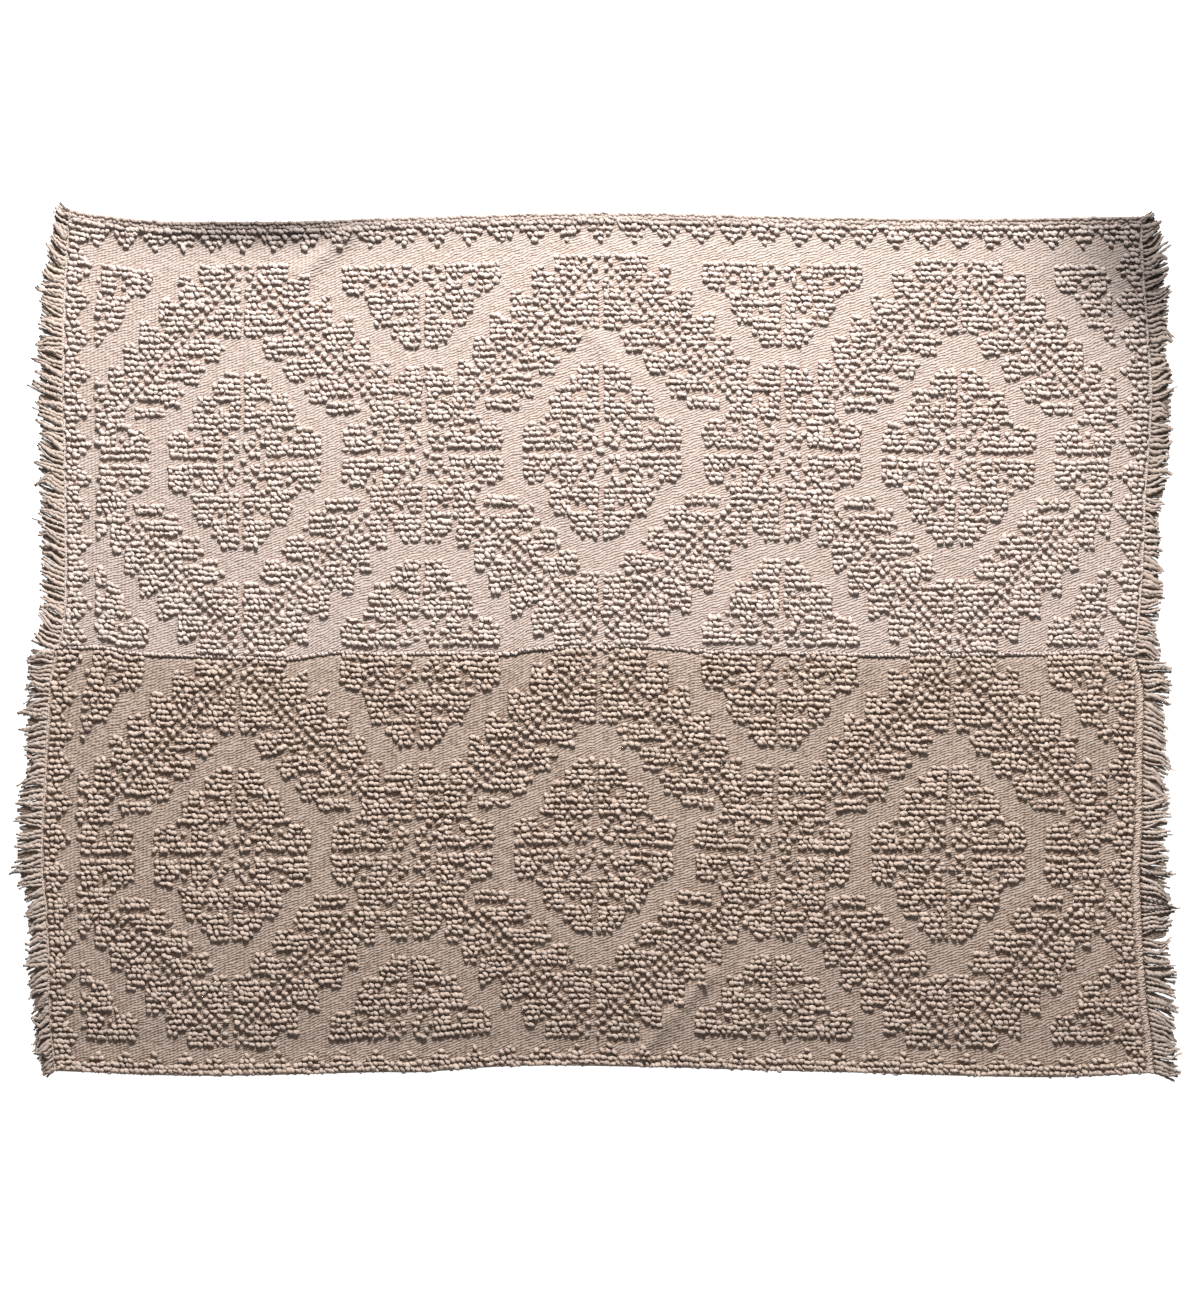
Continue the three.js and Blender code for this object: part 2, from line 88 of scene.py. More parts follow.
# Each panel: its rows, where its seam lies, and tables whose columns are named above them
UPPER = Record(
    name="upper",
    outer_row=41.7,
    seam_side=-1,
    seam_row=-35.2,
    outer_y=603,
    # y at each end and mark
    mid_row_y=(256, 258, 270, 271, 272, 265, 263),
    # x at each mark
    outer_x=(-498, -251, 1, 255, 503),
    mid_row_x=(-501, -245, 2, 256, 501),
    # x, y
    outer_edge=(
        (-742, 609), (-700, 601), (-616, 592), (-532, 591), (-420, 592), (-308, 597), (-56, 605),
        (56, 605), (308, 599), (490, 596), (760, 599),
    ),
    # y, x
    left_edge=(
        (SEAM_Y, -764), (20, -755), (73, -751), (203, -751), (326, -753), (438, -754), (535, -750),
        (582, -745), (610, -741),
    ),
    right_edge=(
        (SEAM_Y, 750), (50, 757), (105, 761), (158, 764), (223, 766), (315, 773), (377, 774),
        (448, 769), (531, 763), (600, 760),
    ),
    # the outer border: its teeth's tip row, first solid row, last looped row, shift of the tips
    teeth=(37, 40, 40, 0),
    # length and width of the panel's cloth when flat, in metres
    flat=(1.53, 0.61),
)
LOWER = Record(
    name="lower",
    outer_row=-39.7,
    seam_side=1,
    seam_row=34.5,
    outer_y=-597,
    mid_row_y=(-297, -294, -288, -281, -291, -290, -293),
    outer_x=(-516, -268, -11, 243, 492),
    mid_row_x=(-516, -263, -7, 242, 486),
    outer_edge=(
        (-766, -596), (-563, -603), (-308, -598), (-255, -598), (-112, -589), (84, -591), (252, -596),
        (304, -597), (627, -605), (777, -599),
    ),
    left_edge=(
        (-596, -766), (-545, -771), (-490, -774), (-405, -776), (-351, -779), (-290, -785), (-239, -783),
        (-147, -778), (-64, -773), (-34, -769), (SEAM_Y, -764),
    ),
    right_edge=(
        (-599, 777), (-538, 773), (-494, 767), (-451, 764), (-396, 760), (-301, 757), (-239, 760),
        (-137, 761), (-55, 762), (SEAM_Y, 750),
    ),
    teeth=(36, 38, 39, TOOTH_PITCH / 2),
    flat=(1.55, 0.59),
)
PANELS = (UPPER, LOWER)

# Soft creases in the cloth. Columns: x and y of one end, x and y of the other, height, half width
CREASES = (
    (-353, 573, -420, 517, 7, 11),
    (-18, 440, 38, 379, 3.5, 11),
    (-88, 220, -56, 181, 3, 10),
    (155, -459, 53, -574, 8, 10),
)
CORNER_CURL = Record(x=-742, y=609, height=7, radius=42)
# How far the upper panel's outer edge curls up from the floor. Columns: x, height
EDGE_LIFT = (
    (-742, 4), (-650, 8), (-520, 9), (-420, 8), (-300, 3), (-200, 1), (300, 1), (450, 3), (600, 6), (760, 7),
)
LIFT_ROWS = 3.5          # rows over which it rises
LIFT_SHARPNESS = 1.5     # above 1 it rises late

# How the fringe lies. Columns: y of the root, reach outwards, rise towards +Y
FRINGES = (
    Record(panel=UPPER, side=-1, lie=(
        (-10, 38, 12), (20, 24, 14), (60, 29, 14), (140, 33, 20), (220, 34, 13), (290, 33, 17), (380, 34, 17),
        (420, 33, 6), (455, 29, 14), (490, 30, 10), (560, 18, 24), (600, 18, 10))),
    Record(panel=UPPER, side=1, lie=(
        (-10, 36, -2), (30, 25, -7), (65, 33, 4), (105, 22, -14), (140, 21, -2), (190, 20, -4), (225, 27, 5),
        (320, 27, 4), (365, 27, 16), (400, 22, 2), (450, 27, 7), (490, 32, 8), (545, 28, 20), (600, 14, 8))),
    Record(panel=LOWER, side=-1, lie=(
        (-590, 10, -10), (-560, 18, -18), (-480, 23, -17), (-440, 28, -14), (-400, 22, -10), (-350, 25, -12),
        (-300, 30, -7), (-250, 33, -4), (-200, 33, -6), (-170, 24, -4), (-90, 30, -8), (-40, 32, 2),
        (-10, 34, 2))),
    Record(panel=LOWER, side=1, lie=(
        (-600, 34, -10), (-575, 34, -6), (-500, 38, -18), (-460, 44, -4), (-420, 36, -2), (-385, 48, 8),
        (-345, 42, -18), (-310, 42, -4), (-270, 35, -5), (-225, 39, 6), (-195, 33, -17), (-150, 35, -12),
        (-80, 28, -12), (-60, 40, 0), (-30, 42, -3))),
)

# Loops in a quarter of a rosette, from its plain centre lines outwards, first row nearest the centre
ROSETTE = (
    ".##.##########",
    "#.#.##########",
    "##.####..#####",
    ".#..###.#.####",
    "..#.###...###.",
    "####.#####....",
    "#########.....",
    "#########.....",
    "##.#.####.....",
    "##...###......",
    "########......",
    "#####.........",
    "#####.........",
    "####..........",
    "###...........",
)
# A leaf's four rows on a branch's inner side: first and last column from the leaf's tip
LEAF_ROWS = ((0, 2), (0, 7), (-1, 6), (0, 5))
FIRST_LEAF = Record(row=10, column=13, step=4, count=4)
SMALL_LEAF = Record(rows=2, columns=(16, 21))
LEAF_SHOULDER = (7, 8)
WEDGE = Record(columns=4, row_and_column=31)
# Lobes on a branch's outer side: the column that each one reaches, four rows a lobe
LOBE_EDGES = (26, 23, 20, 16, 12, 8)
LOBE_ROWS = 4
FIRST_LOBE_ROW = 11
STEM_ROWS = (10, 32)
STEM_KNOB = (0.85, 1.12, 1.35)   # length, width and height of a stem's lone loops as shares of the others'

# The ground's weave: how far a slanted float climbs in a loop column, floats to a loop row, ribs to a column
FLOAT_SLANT = 0.7
FLOATS_A_ROW = 2
RIBS_A_COLUMN = 1.3

# Lumps along the edges: pitch, margins and inset in loop columns or rows, drop and stray in millimetres,
# skew in radians, half size and lumpiness in metres, and how much painted shade dims them
SELVEDGE = Record(
    pitch=0.8, margins=(0.5, 0), insets=(0.3, 0.95), stagger=0.5, drop=0.5, stray=0.8, skew=-0.3,
    half_size=(0.0040, 0.0027, 0.0024), lumpiness=0.0011, darker=0.5)
HEADING_CORD = Record(
    pitch=0.38, margins=(0.4, 0.2), inset=0.4, drop=0.5, stray=0.4, skew=-0.35,
    half_size=(0.0030, 0.0026, 0.0019), lumpiness=0.0004, darker=0)
HEADING_RIBS = Record(
    pitch=0.42, margins=(0.4, 0.2), inset=0.95, drop=0.3, stray=0.4, skew=0.55,
    half_size=(0.0072, 0.0019, 0.0017), lumpiness=0.0004, darker=0)
STITCHES = Record(
    pitch=0.72, margins=(0.6, 0.4), inset=0.35, drop=0.2, stray=0.5, skew=-0.6,
    half_size=(0.0034, 0.0024, 0.0021), lumpiness=0.0021, darker=0)
EDGE_TURNS = (0.12, 0.12, 0.3)   # spread of their turns about X, Y and Z
EDGE_UNEVENNESS = 0.15   # spread of their sizes
# Lift that doubles the painted shade on an upper selvedge lump
SHADED_LIFT = 4          # millimetres of lift that darken a lump as much again

# The fringe's yarns. Lengths are in millimetres, radius and height in yarn radii. A pair is the range of a
# random draw, and a single reach, rise, bow or wave is a draw's spread
EDGE_POINTS = 60         # points along a panel's end that the roots are found from
ROOT_DEPTH = 2.5         # how far inside the cloth a yarn starts
SWEEP = 1.2              # above 1 a yarn turns aside late
REST_HEIGHT = 1.02       # a lying yarn's middle over the floor, in its own radii
# The under-yarns' negative shade is painted shade: real yarns, made dark where the locks shade them
UNDER = Record(margin=1.5, reach=(0.72, 1.0), rise=2.0, bow=1.2, radius=0.7, tip_share=0.75, shade=-1.1)
LOCK = Record(size=(2, 5), stray=(-0.2, 0.2), reach=0.09, rise=1.8, wave=3.6, turns=(4, 8))
YARN = Record(reach=0.09, closing=0.6, rise=2.2, bow=1.6, arch=(0.4, 1.2), arch_length=1.1, root_height=2.4,
              height=1.2, radius=0.2, shade=(0.4, 1))
PILE_SEED, EDGE_SEED, FRINGE_SEED = 11, 23, 37

# The wool's unevenness: noise scale per metre, detail, and how much it adds to the lightness or relief
CLOUDS = (5.0, 4.0, 0.35)
FLECKS = (420.0, 2.0, 0.25)
HAIRS = (1500.0, 2.0, 0.0003)
FIBRE_SCALE = (80.0, 420.0, 420.0)   # fibres are drawn out along the fringe's yarns
GROUND_RELIEF, TWIST_RELIEF, FIBRE_RELIEF = 0.0026, 0.0002, 0.0008
# Painted shade: fringe yarn is dimmed below this height
LIT_HEIGHT = 0.005       # fringe yarn is at its lightest from this height up
OBJECT_PLACE = 3         # this output of Texture Coordinate gives the place on the object
MATT_WOOL = {"Roughness": 0.93, "Specular IOR Level": 0.2, "Sheen Weight": 0.15, "Sheen Roughness": 0.5}

# Painted shade: soft patches where the wool's colour is dimmed for shade on the rug, such as at its curled
# top edge and its upper right corner. Columns: x and y of the centre, half width and height, share of light
# lost
PAINTED_SHADE_PATCHES = (
    (800, 550, 150, 110, 0.62),
    (810, 380, 60, 220, 0.3),
    (-470, 580, 140, 22, 0.55),
    (0, 592, 760, 9, 0.25),
    (-20, -480, 1200, 85, 0.05),
    (0, -545, 1200, 12, 0.1),
)

FLOOR_HALF_WIDTH = 6.0
FLOOR_GAP = 0.0003       # keeps the floor clear of the cloth's underside
LAMP_COLOUR = (1.0, 0.985, 0.96)
SKY_COLOUR = (1.0, 0.96, 0.92, 1)

# The tables' origin in the part's frame, from the upper panel's leftmost x and farthest y
LOWEST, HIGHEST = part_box("panel_upper")
ORIGIN_X = LOWEST[0] - UPPER.left_edge[0][1] * MM
ORIGIN_Y = HIGHEST[1] - UPPER.outer_edge[0][1] * MM


# The chart

def rosette_loop(columns, rows):
    """True where a quarter rosette has a loop, counted from its centre."""
    if columns == 0 and rows == 0:
        return True
    if not (0 < columns <= len(ROSETTE[0]) and 0 < rows <= len(ROSETTE)):
        return False
    return ROSETTE[rows - 1][columns - 1] == "#"


def inner_leaf_loop(column, row):
    """True where the leaves on a branch's inner side have a loop."""
    first_row = FIRST_LEAF.row
    if row < first_row:
        first, last = SMALL_LEAF.columns
        return row >= first_row - SMALL_LEAF.rows and first <= column <= last
    leaf, part = divmod(row - first_row, FIRST_LEAF.step)
    tip = FIRST_LEAF.column - FIRST_LEAF.step * leaf
    if part == 0 and leaf > 0 and tip + LEAF_SHOULDER[0] <= column <= tip + LEAF_SHOULDER[1]:
        return True
    if leaf >= FIRST_LEAF.count:
        return column <= min(WEDGE.columns, WEDGE.row_and_column - row)
    first, last = LEAF_ROWS[part]
    return tip + first <= column <= tip + last


def outer_lobe_loop(column, row, stem):
    """True where the lobes on a branch's outer side have a loop."""
    if row < FIRST_LOBE_ROW or column < stem + 2:
        return False
    lobe = min((row - FIRST_LOBE_ROW) // LOBE_ROWS, len(LOBE_EDGES) - 1)
    part = row - FIRST_LOBE_ROW - LOBE_ROWS * lobe
    edge = LOBE_EDGES[lobe]
    previous = LOBE_EDGES[lobe - 1] if lobe > 0 else edge - 1
    if part == 0:
        return column != edge and column <= previous
    if part == 1 and lobe > 0 and column >= previous - 1:
        return column <= previous
    return column <= edge and (part == 1 or column != stem + 3)


def stem_loop(column, row):
    """True where a branch's stem has a loop, in the quarter cell."""
    return column == REPEAT_COLUMNS - row and STEM_ROWS[0] <= row <= STEM_ROWS[1]


def branch_loop(column, row):
    """True where a leafy branch has a loop, in the quarter cell."""
    stem = REPEAT_COLUMNS - row
    if column in (0, stem):
        return stem_loop(column, row)
    return inner_leaf_loop(column, row) if column < stem else outer_lobe_loop(column, row, stem)


def distance_to_pitch(value, pitch):
    """Distance to the nearest multiple of a pitch."""
    rest = abs(value) % pitch
    return min(rest, pitch - rest)


def border_loop(panel, column, row):
    """True where the toothed borders along a panel's outer edge and ends have a loop."""
    outward = -panel.seam_side * row
    tip_row, solid_row, last_row, shift = panel.teeth
    # The lower panel's plain right end is a column wider
    last_column = BORDER_COLUMN - (panel is LOWER and column > 0)
    if tip_row <= outward <= last_row and abs(column) <= last_column:
        if outward >= solid_row or distance_to_pitch(column - shift, TOOTH_PITCH) <= outward - tip_row:
            return True
    width = 2 + distance_to_pitch(row, TOOTH_PITCH)
    from_end = last_column - abs(column)
    return 0 <= from_end < width and outward <= last_row


def quarter_cell(column, row):
    """The cell of the repeat's first quarter that a chart cell mirrors."""
    folded = abs(column) % (2 * REPEAT_COLUMNS)
    return min(folded, 2 * REPEAT_COLUMNS - folded), abs(row)


def motif_at(panel, column, row):
    """The motif that has a loop in this chart cell, or None on the plain ground."""
    if abs(column) > FIELD_COLUMNS or abs(row) > REPEAT_ROWS:
        return "borders" if border_loop(panel, column, row) else None
    c, r = quarter_cell(column, row)
    if rosette_loop(c, r) or rosette_loop(REPEAT_COLUMNS - c, r):
        return "rosettes"
    # The lower panel's first row at the seam repeats the next row's rosettes
    from_edge = 1 if panel is LOWER and row == REPEAT_ROWS else REPEAT_ROWS - r
    if from_edge > 0 and rosette_loop(REPEAT_COLUMNS - c, from_edge):
        return "rosettes"
    return "branches" if branch_loop(c, r) else None


# Used for the painted shade on the ground among the loops
def pile_share(panel, columns, rows):
    """Share of the nine chart cells round each point of a grid that carry loops."""
    looped = {}

    def loops_in(cell):
        if cell not in looped:
            looped[cell] = motif_at(panel, *cell) is not None
        return looped[cell]

    near = [(c, r) for c in (-1, 0, 1) for r in (-1, 0, 1)]
    cells = [[(round(column), round(row)) for column in columns] for row in rows]
    counts = [[sum(loops_in((column + c, row + r)) for c, r in near) for column, row in line]
              for line in cells]
    return np.array(counts) / len(near)


# The cloth's shape

def smooth(keys, values, at):
    """A smooth curve through values at keys, held level past its ends. Values may differ for each point."""
    keys = np.asarray(keys, float)
    at = np.clip(at, keys[0], keys[-1])
    last = len(keys) - 1
    i = np.clip(np.searchsorted(keys, at, side="right") - 1, 0, last - 1)

    def value(k):
        return np.take_along_axis(values, k[None], axis=0)[0]

    def slope(a, b):
        return (value(b) - value(a)) / (keys[b] - keys[a])

    span = keys[i + 1] - keys[i]
    t = (at - keys[i]) / span
    before = slope(np.maximum(i - 1, 0), i + 1) * span
    after = slope(i, np.minimum(i + 2, last)) * span
    rise = value(i + 1) - value(i)
    curve = t ** 2 * (3 * rise - 2 * before - after) + t ** 3 * (before + after - 2 * rise)
    return value(i) + t * before + curve


def along(table, at):
    """A smooth curve through a table's rows."""
    at = np.atleast_1d(np.asarray(at, float))
    keys, values = zip(*table)
    values = np.array(values, float).reshape(-1, *[1] * at.ndim)
    return smooth(keys, np.broadcast_to(values, (len(keys), *at.shape)), at)


def lerp(a, b, share):
    return a + (b - a) * share


def ease(x):
    """0 below 0, 1 above 1, smooth between."""
    x = np.clip(x, 0, 1)
    return x * x * (3 - 2 * x)


def chart_place(panel, column, row):
    """Where chart points lie on the floor: x and y in the tables' millimetres."""
    column, row = np.broadcast_arrays(np.asarray(column, float), np.asarray(row, float))
    towards_seam = np.sign(row) == panel.seam_side
    share = row / np.where(towards_seam, panel.seam_row, panel.outer_row)
    mid_row = tuple(zip(ALL_MARKS, panel.mid_row_y))
    nominal_y = lerp(along(mid_row, 0), np.where(towards_seam, SEAM_Y, panel.outer_y), share)
    values = [along(panel.left_edge, nominal_y)]
    for mid_x, seam_x, outer_x in zip(panel.mid_row_x, SEAM_X, panel.outer_x):
        values.append(lerp(mid_x, np.where(towards_seam, seam_x, outer_x), share))
    values.append(along(panel.right_edge, nominal_y))
    x = smooth(ALL_MARKS, np.array(values), column)
    edge_y = np.where(towards_seam, along(SEAM_LINE, x), along(panel.outer_edge, x))
    return x, lerp(along(mid_row, column), edge_y, share)


def cloth_lift(panel, row, x, y):
    """How far the creases and the curled edge and corner lift the cloth off the floor, in millimetres."""
    z = np.zeros_like(x)
    for x0, y0, x1, y1, height, half_width in CREASES:
        run_x, run_y = x1 - x0, y1 - y0
        t = np.clip(((x - x0) * run_x + (y - y0) * run_y) / (run_x ** 2 + run_y ** 2), 0, 1)
        distance = np.hypot(x - x0 - t * run_x, y - y0 - t * run_y)
        z += height * np.exp(-(distance / half_width) ** 2)
    from_corner = np.hypot(x - CORNER_CURL.x, y - CORNER_CURL.y)
    z += CORNER_CURL.height * np.exp(-(from_corner / CORNER_CURL.radius) ** 2)
    if panel is UPPER:
        climbed = np.clip(1 - (panel.outer_row - row) / LIFT_ROWS, 0, 1)
        z += along(EDGE_LIFT, x) * climbed ** LIFT_SHARPNESS
    return z


def bent_wave(phase, bend, bent_by):
    """A wave whose crests bend to and fro, -1 to 1. Phases are places over a wave's length / 2 pi."""
    return np.sin(phase + bend * np.sin(bent_by))


def cloth_waves(x, y):
    """Soft unevenness of cloth that never lies quite flat, -1 to 1."""
    broad = bent_wave(x / 31, 1.7, y / 83) * bent_wave(y / 27, 1.3, x / 71)
    return 0.7 * broad + 0.3 * bent_wave(x / 11 - y / 15, 2, y / 41)


def cloth_top(panel, row, x, y):
    """Height of the ground's upper face, in millimetres: at the seam one panel stands up, the other dips."""
    cloth = bpy.context.scene.rug_cloth
    z = cloth.thickness / MM + cloth_lift(panel, row, x, y) + cloth.waviness / MM * cloth_waves(x, y)
    near_seam = 1 - ease(np.abs(panel.seam_row - row) / cloth.seam_rows)
    if panel is UPPER:
        return z + cloth.seam_ridge / MM * (0.8 + 0.4 * bent_wave(x / 37, 2, x / 91)) * near_seam
    return z - cloth.seam_dip / MM * near_seam


def placed(x, y, z):
    """Points in the part's frame, in metres, from the tables' millimetres."""
    return np.stack([x * MM + ORIGIN_X, y * MM + ORIGIN_Y, z * MM], axis=-1).reshape(-1, 3)


def chart_lines(first, last, step):
    """Chart lines at multiples of a step, with the cloth's own edges as the first and last."""
    closest = step / 3
    inner = np.arange(math.ceil((first + closest) / step) * step, last - closest, step)
    return np.concatenate([[first], inner, [last]])


def grid_faces(across, up, start=0, upwards=True):
    """Quads of a grid whose rows run one after another."""
    a = start + (np.arange(up - 1)[:, None] * across + np.arange(across - 1)).reshape(-1)
    corners = np.stack([a, a + 1, a + across + 1, a + across], axis=1)
    return (corners if upwards else corners[:, ::-1]).tolist()


def rim(lines_x, lines_y, start=0):
    """Vertex numbers round a grid's edge, counter-clockwise, with the chart place of each."""
    across, up = len(lines_x), len(lines_y)
    cells = [(i, 0) for i in range(across - 1)] + [(across - 1, j) for j in range(up - 1)]
    cells += [(i, up - 1) for i in range(across - 1, 0, -1)] + [(0, j) for j in range(up - 1, 0, -1)]
    return [(start + j * across + i, (float(lines_x[i]), float(lines_y[j]))) for i, j in cells]


# Meshes and nodes

class Nodes:
    """Builds a material's or a modifier's node tree."""

    def __init__(self, tree):
        self.tree = tree

    def node(self, kind, inputs=None, output=0, **settings):
        """Adds a node: its settings first, then the values or links of its sockets."""
        made = self.tree.nodes.new(kind)
        for name, value in settings.items():
            setattr(made, name, value)
        self.set_inputs(made.name, inputs or {})
        return Flow(self, made.outputs[output]) if len(made.outputs) else made

    def set_inputs(self, name, inputs):
        """Feeds the sockets of the node of this name with values or links."""
        sockets = self.tree.nodes[name].inputs
        for key, value in inputs.items():
            if isinstance(value, Flow):
                self.tree.links.new(value.socket, sockets[key])
            else:
                sockets[key].default_value = value

    def vectors(self, operation, a, b):
        """A sum on two vectors, or on a vector and the number that scales it."""
        inputs = {0: a, "Scale" if operation == "SCALE" else 1: b}
        return self.node("ShaderNodeVectorMath", inputs, operation=operation)

    def noise(self, place, scale, detail, output=0):
        """A noise from 0 to 1 of so many lumps a metre: a number, or a colour from output 1."""
        return self.node("ShaderNodeTexNoise", {"Vector": place, "Scale": scale, "Detail": detail}, output)

    def speckle(self, place, scale, detail, gain):
        """A noise to both sides of zero."""
        return (self.noise(place, scale, detail) - 0.5) * gain

    def surface(self, name, output=2):
        """An attribute of the surface: a number, or a vector from output 1."""
        return self.node("ShaderNodeAttribute", {}, output, attribute_name=name)

    def stored(self, name, kind):
        """An attribute of a modifier's points."""
        return self.node("GeometryNodeInputNamedAttribute", {"Name": name}, data_type=kind)


def overloaded(operation, reflected=False):
    """A Python operator that adds a Math node."""
    def combine(flow, other):
        return flow.math(operation, *((other, flow) if reflected else (flow, other)))
    return combine


class Flow:
    """A node's output. Sums on its numbers are written as Python expressions."""

    def __init__(self, nodes, socket):
        self.nodes, self.socket = nodes, socket

    def math(self, operation, *values, clamp=False):
        inputs = dict(enumerate(values))
        return self.nodes.node("ShaderNodeMath", inputs, operation=operation, use_clamp=clamp)

    __add__ = __radd__ = overloaded("ADD")
    __mul__ = __rmul__ = overloaded("MULTIPLY")
    __sub__, __rsub__ = overloaded("SUBTRACT"), overloaded("SUBTRACT", True)
    __truediv__, __rtruediv__ = overloaded("DIVIDE"), overloaded("DIVIDE", True)
    __pow__ = overloaded("POWER")

    def sine(self):
        return self.math("SINE", self)

    def wave(self):
        """A wave from 0 to 1, one for each whole number."""
        return (self * (2 * math.pi)).sine() * 0.5 + 0.5

    def clamped(self):
        return self.math("ADD", self, 0.0, clamp=True)

    def split(self, axis):
        return self.nodes.node("ShaderNodeSeparateXYZ", {0: self}, "XYZ".index(axis))


def scene_object(name, data):
    made = bpy.data.objects.new(name, data)
    bpy.context.scene.collection.objects.link(made)
    return made


def mesh_object(name, points, faces, edges=()):
    """A new object at the origin, with its place in its mesh."""
    mesh = bpy.data.meshes.new(name)
    mesh.from_pydata(points.tolist(), list(edges), faces)
    mesh.update()
    return scene_object(name, mesh)


def give(mesh, **attributes):
    """Stores a number or a vector of each attribute for each vertex."""
    for name, values in attributes.items():
        kind, field = ("FLOAT_VECTOR", "vector") if values.ndim == 2 else ("FLOAT", "value")
        stored = mesh.attributes.new(name, kind, "POINT")
        stored.data.foreach_set(field, np.ascontiguousarray(values, dtype=np.float32).reshape(-1))


def group_tree(name, inputs):
    """An empty Geometry Nodes tree with named inputs, and a way to read them."""
    tree = bpy.data.node_groups.new(name, "GeometryNodeTree")
    tree.interface.new_socket("Geometry", in_out="INPUT", socket_type="NodeSocketGeometry")
    for label, kind in inputs.items():
        tree.interface.new_socket(label, in_out="INPUT", socket_type=f"NodeSocket{kind}")
    tree.interface.new_socket("Geometry", in_out="OUTPUT", socket_type="NodeSocketGeometry")
    entry = tree.nodes.new("NodeGroupInput")
    nodes = Nodes(tree)
    return nodes, {socket.name: Flow(nodes, socket) for socket in entry.outputs if socket.name}


def made_real(source, nodes, values):
    """Runs a tree on an object once and keeps the result as its plain mesh."""
    modifier = source.modifiers.new(nodes.tree.name, "NODES")
    modifier.node_group = nodes.tree
    for item in nodes.tree.interface.items_tree:
        if item.in_out == "INPUT" and item.name in values:
            modifier[item.identifier] = values[item.name]
    evaluated = source.evaluated_get(bpy.context.evaluated_depsgraph_get())
    mesh = bpy.data.meshes.new_from_object(evaluated)
    source.modifiers.remove(modifier)
    mesh.name = source.name
    source.data = mesh
    return source


def dressed(nodes, geometry, material):
    """Ends a tree: smooth, and in its wool."""
    soft = nodes.node("GeometryNodeSetShadeSmooth", {"Geometry": geometry})
    clothed = nodes.node("GeometryNodeSetMaterial", {"Geometry": soft, "Material": material})
    nodes.node("NodeGroupOutput", {0: clothed})
    return nodes


def lumps_tree():
    """Sets a lumpy little ball on each point, turned and swollen as the point says, no two alike."""
    nodes, given = group_tree("Wool lumps", {
        "Half size": "Vector", "Sides": "Int", "Bands": "Int", "Lumpiness": "Float", "Lump size": "Float",
        "Wool": "Material",
    })
    node = nodes.node
    ball = node("GeometryNodeMeshUVSphere",
                {"Segments": given["Sides"], "Rings": given["Bands"], "Radius": 1.0})
    here = node("GeometryNodeInputPosition")
    marked = node("GeometryNodeStoreNamedAttribute", {"Geometry": ball, "Name": "knob", "Value": here},
                  data_type="FLOAT_VECTOR", domain="POINT")
    rotation = node("FunctionNodeEulerToRotation", {0: nodes.stored("turn", "FLOAT_VECTOR")})
    size = nodes.vectors("MULTIPLY", nodes.stored("swell", "FLOAT_VECTOR"), given["Half size"])
    set_out = node("GeometryNodeInstanceOnPoints",
                   {"Points": given["Geometry"], "Instance": marked, "Rotation": rotation, "Scale": size})
    # Made real before the push, so that each ball gets lumps of its own
    real = node("GeometryNodeRealizeInstances", {0: set_out})
    noise = nodes.noise(here, 1.0 / given["Lump size"], 1.0, output=1)
    push = nodes.vectors("SCALE", nodes.vectors("SUBTRACT", noise, (0.5, 0.5, 0.5)), given["Lumpiness"] * 2.0)
    lumpy = node("GeometryNodeSetPosition", {"Geometry": real, "Offset": push})
    return dressed(nodes, lumpy, given["Wool"])


def yarn_tree():
    """Sweeps a two-ply section along each path, as thick and as turned as its points say."""
    nodes, given = group_tree("Twisted yarn", {"Sides": "Int", "Ply depth": "Float", "Wool": "Material"})
    node = nodes.node
    paths = node("GeometryNodeMeshToCurve", {"Mesh": given["Geometry"]})
    upright = node("GeometryNodeSetCurveNormal", {"Curve": paths}, mode="Z_UP")
    turn = nodes.stored("ply_turn", "FLOAT")
    turned = node("GeometryNodeSetCurveTilt", {"Curve": upright, "Tilt": turn})
    ring = node("GeometryNodeCurvePrimitiveCircle", {"Resolution": given["Sides"], "Radius": 1.0},
                mode="RADIUS")
    depth = given["Ply depth"]
    squeeze = node("ShaderNodeCombineXYZ", {0: 1.0 + depth, 1: 1.0 - depth, 2: 1.0})
    oval = nodes.vectors("MULTIPLY", node("GeometryNodeInputPosition"), squeeze)
    section = node("GeometryNodeSetPosition", {"Geometry": ring, "Position": oval})
    thickness = nodes.stored("thickness", "FLOAT")
    swept = node("GeometryNodeCurveToMesh",
                 {"Curve": turned, "Profile Curve": section, "Scale": thickness, "Fill Caps": True})
    real = node("GeometryNodeRealizeInstances", {0: swept})
    return dressed(nodes, real, given["Wool"])


def set_out_lumps(name, points, turn, swell, shade, lumps, material):
    """A piece of wool lumps, one at each point, with the half size and lumpiness that lumps says."""
    pile = bpy.context.scene.rug_pile
    source = mesh_object(name, points, [])
    give(source.data, turn=turn, swell=swell, shade=shade)
    return made_real(source, lumps_tree(), {
        "Half size": tuple(lumps.half_size), "Lumpiness": lumps.lumpiness, "Sides": pile.sides,
        "Bands": pile.bands, "Lump size": pile.lump_size, "Wool": material,
    })


# Wool

def painted_shade_factor(place):
    """The share of its colour that the wool keeps where painted shade dims it on soft patches."""
    kept = 1.0
    for x, y, half_x, half_y, depth in PAINTED_SHADE_PATCHES:
        centre = placed(x, y, 0)[0]
        across = (place.split("X") - float(centre[0])) / (half_x * MM)
        up = (place.split("Y") - float(centre[1])) / (half_y * MM)
        kept = (1.0 - depth / (1.0 + (across ** 2.0 + up ** 2.0) ** 2.0)) * kept
    return kept


